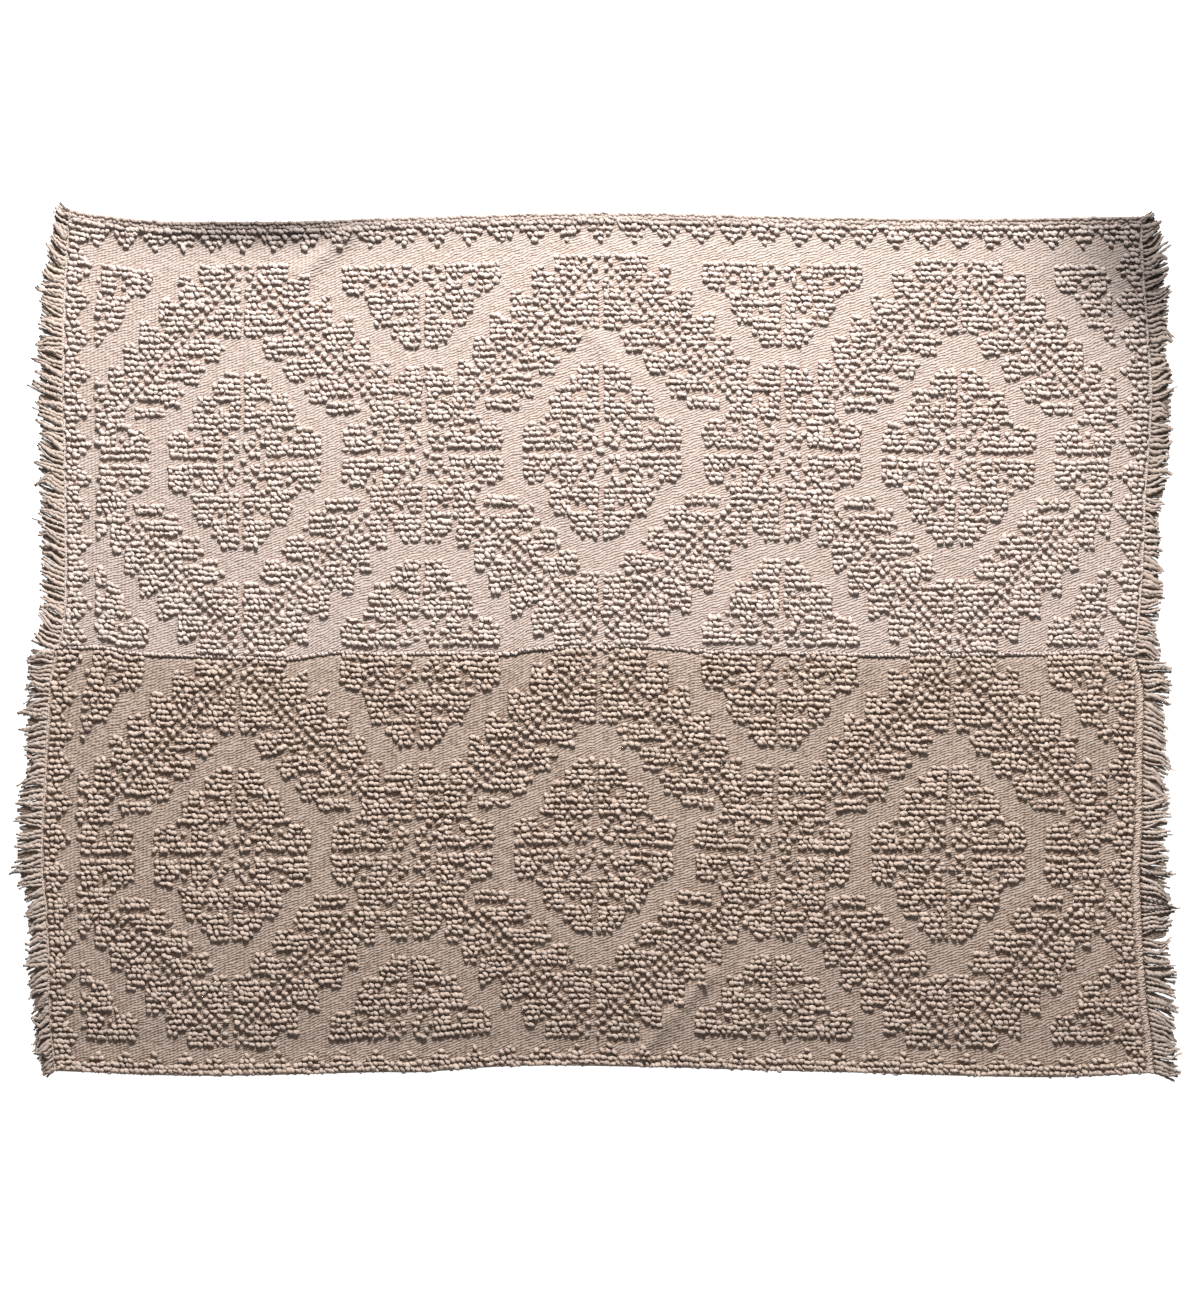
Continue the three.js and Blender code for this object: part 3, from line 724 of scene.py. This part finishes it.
def wool_material(name, colour, shadow, finish):
    """A matt wool. Its finish gives how light it is, 0 to 1, painted light and shade included, and its relief
    in metres.
    """
    material = bpy.data.materials.new(name)
    material.use_nodes = True
    material.diffuse_color = (*colour, 1)
    nodes = Nodes(material.node_tree)
    place = nodes.node("ShaderNodeTexCoord", output=OBJECT_PLACE)
    lightness, relief = finish(nodes, place)
    share = (lightness + nodes.speckle(place, *CLOUDS) + nodes.speckle(place, *FLECKS)).clamped()
    # The dark end of the mix carries the painted shade and the wool's darker random tones
    mixed = nodes.node("ShaderNodeMix", {0: share, 6: (*shadow, 1), 7: (*colour, 1)}, 2, data_type="RGBA")
    # Painted shade: the mixed colour is dimmed on the painted shade patches
    painted_shaded = nodes.vectors("SCALE", mixed, painted_shade_factor(place))
    height = relief + nodes.speckle(place, *HAIRS)
    bump = nodes.node("ShaderNodeBump", {"Strength": 1.0, "Distance": 1.0, "Height": height})
    nodes.set_inputs("Principled BSDF", {"Base Color": painted_shaded, "Normal": bump, **MATT_WOOL})
    return material


def pile_finish(nodes, place):
    """Loops: painted light on top and painted shade low down between them, a random tone for each, with the
    yarn's twist round each.
    """
    shade = nodes.surface("shade")
    knob = nodes.surface("knob", output=1)   # the place on a loop's ball, -1 to 1
    # Painted light and shade: the loop's height on its ball lightens its top and dims its underside
    rise = (knob.split("Z") + 0.45) / 1.2
    twist = (knob.split("X") * 7.0 + knob.split("Y") * 5.0 + shade * 9.0).sine()
    return rise.clamped() ** 0.8 * 0.85 + shade * 0.3, twist * TWIST_RELIEF


def ground_finish(nodes, place):
    """Ground: slanted floats of yarn, broken by the warp's ribs and by lumps. Its lightness follows the
    relief, painted shade in the hollows, and painted shade dims it among the loops.
    """
    chart = nodes.node("ShaderNodeUVMap", uv_map="chart")
    wander = nodes.noise(place, 80.0, 2.0)
    lumps = nodes.noise(place, 140.0, 3.0)
    column, row = chart.split("X"), chart.split("Y")
    floats = (row - column * FLOAT_SLANT + wander * 2.0).wave()
    ribs = (column * RIBS_A_COLUMN + wander * 0.8).wave()
    relief = floats * 0.34 + ribs * 0.26 + lumps * 1.3
    # Painted shade among the loops: the more of the nine cells round a point carry loops, the dimmer the
    # ground
    shaded = (nodes.surface("pile_share") - 0.2).clamped() * 0.8
    return relief * 1.5 - 0.69 - shaded, relief * GROUND_RELIEF


def yarn_finish(nodes, place):
    """Fringe yarn: fibres along it, each yarn's own tone, which on the under-yarns is painted shade, and
    painted shade near the floor.
    """
    rise = place.split("Z") / LIT_HEIGHT
    fibres = nodes.noise(nodes.vectors("MULTIPLY", place, FIBRE_SCALE), 1.0, 3.0) - 0.5
    return rise.clamped() * 0.6 + nodes.surface("shade") * 0.35 + fibres * 0.8, fibres * FIBRE_RELIEF


# Pieces

def end_rows(panel):
    """The rows at a panel's two long edges, the lower one first."""
    return sorted((panel.outer_row, panel.seam_row))


def chart_grid(panel, step):
    """Lines of a panel's chart, with the chart place and the floor place of each of their crossings."""
    lines = chart_lines(-COLUMNS_TO_END, COLUMNS_TO_END, step), chart_lines(*end_rows(panel), step)
    column, row = np.meshgrid(*lines)
    return lines, column, row, *chart_place(panel, column, row)


def made_ground(panel, material):
    """One panel's ground: a thin closed sheet, ribbed on top, lying on the floor but for its creases."""
    cloth = bpy.context.scene.rug_cloth
    fine, column, row, x, y = chart_grid(panel, 1)
    edge = (np.abs(column) == COLUMNS_TO_END) | np.isin(row, end_rows(panel))
    top = placed(x, y, cloth_top(panel, row, x, y) - edge * cloth.edge_round / MM)
    coarse, below_column, below_row, x, y = chart_grid(panel, COARSE_STEP)
    bottom = placed(x, y, cloth_lift(panel, below_row, x, y))

    faces = grid_faces(*map(len, fine)) + grid_faces(*map(len, coarse), len(top), upwards=False)
    # The sheet's thin side: each coarse edge below meets a run of fine edges above
    upper_rim, lower_rim = rim(*fine), rim(*coarse, len(top))
    where = {place: k for k, (_, place) in enumerate(upper_rim)}
    for (a, place_a), (b, place_b) in zip(lower_rim, lower_rim[1:] + lower_rim[:1]):
        run = upper_rim[where[place_a]:(where[place_b] or len(upper_rim))]
        end = upper_rim[where[place_b]][0]
        faces.append([a, b, end, *[index for index, _ in reversed(run)]])

    made = mesh_object(f"ground_{panel.name}", np.concatenate([top, bottom]), faces)
    mesh = made.data
    mesh.shade_smooth()
    chart = np.concatenate([np.stack([columns, rows * FLOATS_A_ROW], axis=-1).reshape(-1, 2)
                            for columns, rows in ((column, row), (below_column, below_row))])
    corners = np.empty(len(mesh.loops), dtype=np.int32)
    mesh.loops.foreach_get("vertex_index", corners)
    mesh.uv_layers.new(name="chart").data.foreach_set("uv", chart[corners].astype(np.float32).reshape(-1))
    mesh.materials.append(material)
    # Painted shade: each point of the top keeps the share of loops round it, which dims the ground among the
    # loops
    shade = np.zeros(len(mesh.vertices))
    shade[:column.size] = pile_share(panel, *fine).reshape(-1)
    give(mesh, pile_share=shade)
    return made


def spread(rng, *shape):
    """Random numbers about zero, most within one and none past two."""
    return rng.normal(size=shape).clip(-2, 2)


def row_waves(column, row):
    """How a row of loops waves along its way, -1 to 1."""
    return 0.6 * np.sin(0.31 * column + 1.9 * row) + 0.4 * np.sin(0.83 * column - 0.7 * row)


def made_pile(panel, motif, material, rng):
    """The loops of one kind of motif on one panel."""
    pile, cloth = bpy.context.scene.rug_pile, bpy.context.scene.rug_cloth
    first, last = sorted((int(panel.outer_row), panel.seam_side * REPEAT_ROWS))
    columns = range(-BORDER_COLUMN, BORDER_COLUMN + 1)
    cells = [(column, row) for row in range(first, last + 1) for column in columns
             if motif_at(panel, column, row) == motif]
    column, row = np.array(cells, float).T
    count = len(cells)
    on_stem = np.array([motif == "branches" and stem_loop(*quarter_cell(*cell)) for cell in cells])
    x, y = chart_place(panel, column + np.where(on_stem, 0, 0.5 * pile.stagger * (-1) ** row), row)
    stray = spread(rng, 3, count) * np.array(pile.wander)[:, None] / MM
    size = 1 + pile.unevenness * spread(rng, count, 3)
    size *= np.where(on_stem[:, None], STEM_KNOB, 1)
    z = cloth_top(panel, row, x, y) + (cloth.loop_height - pile.half_size[2]) / MM + stray[2]
    turn = rng.normal(size=(count, 3)) * (pile.lean, pile.lean, pile.skew_spread) + (0, 0, pile.skew)
    points = placed(x + stray[0], y + stray[1] + row_waves(column, row) * pile.row_wave / MM, z)
    shade = rng.random(count)
    return set_out_lumps(f"{motif}_{panel.name}", points, turn, size, shade, pile, material)


def edge_line(first, last, lumps):
    """Places in a line, between margins, for lumps of one kind."""
    return np.arange(first + lumps.margins[0], last - lumps.margins[1], lumps.pitch)


def edge_lumps(name, panel, column, row, lumps, material, rng):
    """A piece of one kind of lumps at these places of the chart."""
    column, row = np.broadcast_arrays(np.asarray(column, float), np.asarray(row, float))
    x, y = chart_place(panel, column, row)
    count = len(column)
    z = cloth_top(panel, row, x, y) - lumps.drop
    x = x + rng.normal(size=count) * lumps.stray
    y = y + rng.normal(size=count) * lumps.stray
    turn = rng.normal(size=(count, 3)) * EDGE_TURNS + (0, 0, lumps.skew)
    # Painted shade: the selvedge's lumps are dimmed, more where the upper panel's edge lifts
    shade = rng.random(count) - lumps.darker * (1 + (panel is UPPER) * along(EDGE_LIFT, x) / SHADED_LIFT)
    size = 1 + EDGE_UNEVENNESS * spread(rng, count, 3)
    return set_out_lumps(name, placed(x, y, z), turn, size, shade, lumps, material)


def made_selvedge(panel, material, rng):
    """The lumpy plain selvedge along a panel's outer edge, two weft turns wide."""
    column = np.tile(edge_line(-COLUMNS_TO_END, COLUMNS_TO_END, SELVEDGE), len(SELVEDGE.insets))
    inwards = np.repeat(SELVEDGE.insets, len(column) // len(SELVEDGE.insets))
    row = panel.outer_row + inwards * panel.seam_side
    column = column + inwards * SELVEDGE.stagger
    return edge_lumps(f"selvedge_{panel.name}", panel, column, row, SELVEDGE, material, rng)


def made_heading(panel, side, material, rng):
    """The plain end of a panel above the fringe: a smooth cord, or slanted ribs at the lower right."""
    lumps = HEADING_RIBS if panel is LOWER and side > 0 else HEADING_CORD
    row = edge_line(*end_rows(panel), lumps)
    column = side * (COLUMNS_TO_END - lumps.inset)
    return edge_lumps(f"heading_{panel.name}_{SIDES[side]}", panel, column, row, lumps, material, rng)


def made_stitches(material, rng):
    """Whipped stitches of wool thread over the upper panel's selvedge, which hold the two panels together."""
    column = edge_line(-COLUMNS_TO_END, COLUMNS_TO_END, STITCHES)
    row = UPPER.seam_row + STITCHES.inset
    return edge_lumps("seam_stitches", UPPER, column, row, STITCHES, material, rng)


class Yarns:
    """Paths of fringe yarns that grow outwards from one end of a panel, in the tables' millimetres."""

    def __init__(self, fringe, settings, rng):
        self.panel, self.side, self.settings, self.rng = fringe.panel, fringe.side, settings, rng
        self.edge_row = np.linspace(*end_rows(self.panel), EDGE_POINTS)
        self.edge_x, self.edge_y = chart_place(self.panel, self.side * COLUMNS_TO_END, self.edge_row)
        self.reach = [(y, out) for y, out, _ in fringe.lie]
        self.rise = [(y, up) for y, _, up in fringe.lie]
        self.steps = np.linspace(0, 1, settings.steps)
        self.arc = np.sin(math.pi * self.steps)
        self.radius = settings.yarn_radius / MM
        self.laid = []

    def lay(self, root_y, out, up, radius, tip_share, bow, height, shade):
        """Lays one yarn: how far it reaches out and up, its sideways bow and its height over the floor."""
        steps = self.steps
        root_x = np.interp(root_y, self.edge_y, self.edge_x)
        row = np.interp(root_y, self.edge_y, self.edge_row)
        root_lift = cloth_lift(self.panel, row, np.array([root_x]), np.array([root_y]))[0]
        x = root_x + self.side * (out * steps - ROOT_DEPTH * (1 - steps))
        y = root_y + up * steps ** SWEEP + bow
        # It tapers over the outer five eighths of its length
        thickness = radius * lerp(1.0, tip_share, ease(steps * 1.6 - 0.6))
        z = np.maximum(thickness * REST_HEIGHT, height) + root_lift * (1 - steps) ** 2
        turn = 6 * self.rng.random() + steps * out * MM / self.settings.ply_length * 2 * math.pi
        self.laid.append((placed(x, y, z), thickness * MM, turn, np.full(len(steps), shade)))

    def lay_under(self):
        """The flat yarns that the locks lie on, made dark as painted shade under the locks."""
        rng = self.rng
        first, last = self.edge_y[0] + UNDER.margin, self.edge_y[-1] - UNDER.margin
        for root_y in np.arange(first, last, self.settings.under_pitch / MM):
            out = along(self.reach, root_y)[0] * rng.uniform(*UNDER.reach)
            up = along(self.rise, root_y)[0] + UNDER.rise * rng.normal()
            bow = UNDER.bow * rng.normal() * self.arc
            self.lay(root_y, out, up, self.radius * UNDER.radius, UNDER.tip_share, bow, 0.0, UNDER.shade)

    def lay_locks(self):
        """Thick wavy yarns that lie two to four together."""
        rng, steps, settings = self.rng, self.steps, self.settings
        pitch = settings.pitch / MM
        over = np.sin(math.pi * np.clip(steps * YARN.arch_length, 0, 1))
        y = self.edge_y[0] + pitch / 2
        while y < self.edge_y[-1] - pitch / 2:
            size = int(rng.integers(*LOCK.size))
            roots = [y + (k + rng.uniform(*LOCK.stray)) * pitch for k in range(size)
                     if y + k * pitch < self.edge_y[-1] - pitch / 3]
            y = roots[-1] + pitch
            middle = sum(roots) / len(roots)
            lock_out = along(self.reach, middle)[0] * (1 + LOCK.reach * rng.normal())
            lock_up = along(self.rise, middle)[0] + LOCK.rise * rng.normal()
            wave = LOCK.wave * rng.normal() * np.sin(steps * rng.uniform(*LOCK.turns) + 6 * rng.random())
            for root_y in roots:
                out = lock_out * (1 + YARN.reach * rng.normal())
                up = lock_up + (middle - root_y) * YARN.closing + YARN.rise * rng.normal()
                bow = wave * steps + YARN.bow * rng.normal() * self.arc
                arch = settings.arch / MM * rng.uniform(*YARN.arch) * over
                height = YARN.root_height * (1 - steps) + arch + YARN.height * self.radius
                radius = self.radius * (1 + YARN.radius * rng.normal())
                shade = rng.uniform(*YARN.shade)
                self.lay(root_y, out, up, radius, settings.tip_share, bow, height, shade)


def made_fringe(fringe, material, rng):
    """The cut warp ends at one end of a panel, lying on the floor."""
    settings = bpy.context.scene.rug_fringe
    yarns = Yarns(fringe, settings, rng)
    yarns.lay_under()
    yarns.lay_locks()
    points, thickness, turn, shade = map(np.concatenate, zip(*yarns.laid))
    size = settings.steps
    edges = [(k * size + j, k * size + j + 1) for k in range(len(yarns.laid)) for j in range(size - 1)]
    source = mesh_object(f"yarns_{fringe.panel.name}_{SIDES[fringe.side]}", points, [], edges)
    give(source.data, thickness=thickness, ply_turn=turn, shade=shade)
    given = {"Sides": settings.sides, "Ply depth": settings.ply_depth, "Wool": material}
    return made_real(source, yarn_tree(), given)


# Settings

def setting(kind, name, description, default, **rest):
    return kind(name=name, description=description, default=default, **rest)


number = partial(setting, FloatProperty)
factor = partial(setting, FloatProperty, subtype="FACTOR")
metres = partial(setting, FloatProperty, unit="LENGTH")
radians = partial(setting, FloatProperty, unit="ROTATION", subtype="ANGLE")
watts = partial(setting, FloatProperty, unit="POWER")
metres_xyz = partial(setting, FloatVectorProperty, unit="LENGTH", subtype="XYZ", size=3)
tint = partial(setting, FloatVectorProperty, subtype="COLOR", size=3, min=0, max=1)
whole = partial(setting, IntProperty)


class RugClothSettings(PropertyGroup):
    thickness: metres("Ground thickness", "Thickness of the plain woven ground", 0.0032)
    loop_height: metres("Loop height", "How far the loops stand above the ground", 0.0056)
    waviness: metres("Waviness", "How far the cloth rises and dips where it lies flat", 0.0006)
    edge_round: metres("Edge rounding", "How far the ground drops at its edges", 0.0009)
    seam_ridge: metres("Seam ridge", "How far the upper panel stands up at the seam", 0.0018)
    seam_dip: metres("Seam dip", "How far the lower panel dips at the seam", 0.0007)
    seam_rows: number("Seam rows", "Loop rows over which the cloth rises or dips", 1.6)


class RugPileSettings(PropertyGroup):
    half_size: metres_xyz("Half size", "Half of a loop's length, width and height", (0.0053, 0.0034, 0.0030))
    sides: whole("Sides", "Sides of each loop's mesh", 6, min=5, max=12)
    bands: whole("Bands", "Bands of each loop's mesh", 4, min=3, max=8)
    lumpiness: metres("Lumpiness", "How far the yarn's lumps push the loops about", 0.0021)
    lump_size: metres("Lump size", "Size of those lumps", 0.0048)
    wander: metres_xyz("Wander", "How far a loop strays from its place", (0.0011, 0.0008, 0.0007))
    stagger: factor("Stagger", "Shift between one row's loops and the next row's", 0.2)
    row_wave: metres("Row wave", "How far the rows wave", 0.0013)
    unevenness: factor("Unevenness", "Spread of the loops' sizes", 0.15)
    lean: radians("Lean", "Spread of the loops' lean", 0.3)
    skew: radians("Skew", "Turn of the loops about the vertical", -0.42)
    skew_spread: radians("Skew spread", "Spread of that turn", 0.38)


class RugFringeSettings(PropertyGroup):
    pitch: metres("Yarn pitch", "Distance between the locks' yarns", 0.0066)
    under_pitch: metres("Under pitch", "Distance between the yarns under the locks", 0.0022)
    yarn_radius: metres("Yarn radius", "Radius of a yarn at its root", 0.0032)
    tip_share: factor("Tip share", "Radius of the tip as a share of the root's", 0.6)
    arch: metres("Arch", "How far a yarn arches over the floor", 0.0018)
    ply_length: metres("Ply length", "Length of one full turn of the two plies", 0.014)
    ply_depth: factor("Ply depth", "How far the section is from round", 0.2)
    steps: whole("Steps", "Points along each yarn", 9, min=6, max=30)
    sides: whole("Sides", "Sides of each yarn", 5, min=4, max=12)


class RugWoolSettings(PropertyGroup):
    upper: tint("Upper panel", "Wool of the upper panel's loops", (0.545, 0.462, 0.426))
    # The dark ends of the wools' mixes: their darker random tones and the painted shade down in the pile and
    # near the floor
    upper_deep: tint("Upper panel, deep", "The same wool down in the pile", (0.36, 0.272, 0.23))
    lower: tint("Lower panel", "Wool of the lower panel's loops", (0.49, 0.395, 0.34))
    # Set much lower than the upper panel's, partly the lower wool's own colour and partly painted shade for
    # the weaker light on that panel
    lower_deep: tint("Lower panel, deep", "The same wool down in the pile", (0.2, 0.135, 0.1))
    ground_gain: factor("Ground gain", "Lightness of the ground as a share of the loops'", 0.81)
    warp: tint("Fringe", "Wool of the warp", (0.45, 0.37, 0.325))
    warp_deep: tint("Fringe, deep", "The same wool near the floor", (0.19, 0.145, 0.115))


class RugStageSettings(PropertyGroup):
    view_width: metres("View width", "Width of floor that the camera sees", 1.68)
    camera_height: metres("Camera height", "Height of the camera", 4.2)
    view_centre_y: metres("View centre", "Place across the rug under the camera", -0.0129)
    lamp_place: metres_xyz("Lamp place", "Place of the lamp beyond the rug's far side", (0.1, 2.6, 2.05))
    lamp_power: watts("Lamp power", "Power of the lamp", 270.0)
    lamp_width: metres("Lamp width", "Width of the lamp", 0.6)
    sky_strength: number("Sky strength", "Strength of the even light", 0.3)
    floor: tint("Floor", "Colour of the floor", (0.82, 0.82, 0.82))
    floor_glow: factor("Floor glow", "How white the floor looks to the camera, beyond the light on it", 0.95)


# Operators

def finished(piece, slot_name, *nodes):
    """Hands a piece to the frame: its body, and the solids that it stands for, which it hides. Its slot name
    is not used.
    """
    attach(piece, "root")
    if nodes:
        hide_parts(*nodes)
    return piece


def wool(name):
    return bpy.data.materials[name]


class RUG_OT_wool(Operator):
    """Mixes the wools of the two panels and of the fringe"""
    bl_idname = "rug.mix_wool"
    bl_label = "Mix the wools"

    def execute(self, context):
        wools = context.scene.rug_wool
        for panel in PANELS:
            name = panel.name
            colour, dark_and_shade = getattr(wools, name), getattr(wools, f"{name}_deep")
            ground = [channel * wools.ground_gain for channel in colour]
            wool_material(f"ground wool, {name} panel", ground, dark_and_shade, ground_finish)
            wool_material(f"looped wool, {name} panel", colour, dark_and_shade, pile_finish)
        wool_material("warp wool", wools.warp, wools.warp_deep, yarn_finish)
        return {"FINISHED"}


class RUG_OT_pile(Operator):
    """Raises the loops of both panels, motif by motif"""
    bl_idname = "rug.raise_loops"
    bl_label = "Raise the loops"

    def execute(self, context):
        rng = np.random.default_rng(PILE_SEED)
        for panel in PANELS:
            material = wool(f"looped wool, {panel.name} panel")
            for motif in ("rosettes", "branches", "borders"):
                finished(made_pile(panel, motif, material, rng), f"panel_{panel.name}")
        return {"FINISHED"}


class RUG_OT_edges(Operator):
    """Closes the outer edges and ends of both panels and sews them together"""
    bl_idname = "rug.close_edges"
    bl_label = "Close the edges and sew the seam"

    def execute(self, context):
        rng = np.random.default_rng(EDGE_SEED)
        for panel in PANELS:
            material = wool(f"looped wool, {panel.name} panel")
            finished(made_selvedge(panel, material, rng), f"panel_{panel.name}")
            for side in SIDES:
                finished(made_heading(panel, side, material, rng), f"panel_{panel.name}")
        finished(made_stitches(wool("looped wool, upper panel"), rng), "panel_upper")
        return {"FINISHED"}


class RUG_OT_fringe(Operator):
    """Cuts the warp ends as a fringe at both ends of each panel"""
    bl_idname = "rug.cut_fringe"
    bl_label = "Cut the fringe"

    def execute(self, context):
        rng = np.random.default_rng(FRINGE_SEED)
        for fringe in FRINGES:
            node = f"fringe_{fringe.panel.name}_{SIDES[fringe.side]}"
            finished(made_fringe(fringe, wool("warp wool"), rng), "fringe", node)
        return {"FINISHED"}


class RUG_OT_ground(Operator):
    """Weaves the plain ribbed ground of both panels"""
    bl_idname = "rug.weave_ground"
    bl_label = "Weave the ground"

    def execute(self, context):
        for panel in PANELS:
            name = panel.name
            ground = made_ground(panel, wool(f"ground wool, {name} panel"))
            finished(ground, f"panel_{name}", f"panel_{name}")
        return {"FINISHED"}


class RUG_OT_stage(Operator):
    """Lays the floor and sets the light and the camera straight above the rug"""
    bl_idname = "rug.set_stage"
    bl_label = "Set the stage"

    def execute(self, context):
        scene = context.scene
        stage = scene.rug_stage
        corners = [(x * FLOOR_HALF_WIDTH, y * FLOOR_HALF_WIDTH, -FLOOR_GAP)
                   for x, y in ((-1, -1), (1, -1), (1, 1), (-1, 1))]
        floor = mesh_object("floor", np.array(corners), [(0, 1, 2, 3)])
        paint = bpy.data.materials.new("pale floor")
        paint.use_nodes = True
        nodes = Nodes(paint.node_tree)
        seen = nodes.node("ShaderNodeLightPath")
        nodes.set_inputs("Principled BSDF", {
            "Base Color": (*stage.floor, 1), "Roughness": 0.9, "Emission Color": (1, 1, 1, 1),
            "Emission Strength": seen * stage.floor_glow,
        })
        floor.data.materials.append(paint)

        lamp = scene_object("lamp", bpy.data.lights.new("lamp", "AREA"))
        lamp.data.energy = stage.lamp_power
        lamp.data.size = stage.lamp_width
        lamp.data.color = LAMP_COLOUR
        lamp.location = stage.lamp_place
        lamp.rotation_euler = Vector(stage.lamp_place).to_track_quat("Z", "Y").to_euler()

        scene.world = scene.world or bpy.data.worlds.new("studio")
        scene.world.use_nodes = True
        sky = Nodes(scene.world.node_tree)
        sky.set_inputs("Background", {"Color": SKY_COLOUR, "Strength": stage.sky_strength})

        camera = scene_object("camera", bpy.data.cameras.new("camera"))
        camera.data.sensor_fit = "HORIZONTAL"
        camera.data.lens = camera.data.sensor_width * stage.camera_height / stage.view_width
        camera.location = (ORIGIN_X, stage.view_centre_y, stage.camera_height)
        scene.camera = camera
        scene.view_settings.view_transform = "Standard"
        return {"FINISHED"}


class RUG_PT_panel(Panel):
    """The rug's pieces and sizes in the 3D view's sidebar"""
    bl_idname = "RUG_PT_panel"
    bl_label = "Handwoven rug"
    bl_space_type = "VIEW_3D"
    bl_region_type = "UI"
    bl_category = "Rug"

    def draw(self, context):
        for operator in OPERATORS:
            self.layout.operator(operator.bl_idname)
        for name in SETTINGS:
            group = getattr(context.scene, name)
            for key in group.bl_rna.properties.keys():
                if key not in ("rna_type", "name"):
                    self.layout.prop(group, key)


SETTINGS = {
    "rug_cloth": RugClothSettings,
    "rug_pile": RugPileSettings,
    "rug_fringe": RugFringeSettings,
    "rug_wool": RugWoolSettings,
    "rug_stage": RugStageSettings,
}
OPERATORS = (RUG_OT_stage, RUG_OT_wool, RUG_OT_pile, RUG_OT_edges, RUG_OT_fringe, RUG_OT_ground)


def register():
    for made in (*SETTINGS.values(), *OPERATORS, RUG_PT_panel):
        bpy.utils.register_class(made)
    for name, group in SETTINGS.items():
        setattr(bpy.types.Scene, name, PointerProperty(type=group))


def unregister():
    for name in SETTINGS:
        delattr(bpy.types.Scene, name)
    for made in (RUG_PT_panel, *reversed(OPERATORS), *reversed(SETTINGS.values())):
        bpy.utils.unregister_class(made)


def main():
    register()
    bpy.ops.rug.set_stage()
    bpy.ops.rug.mix_wool()
    bpy.ops.rug.raise_loops()
    bpy.ops.rug.close_edges()
    bpy.ops.rug.cut_fringe()
    bpy.ops.rug.weave_ground()


if __name__ == "__main__":
    main()
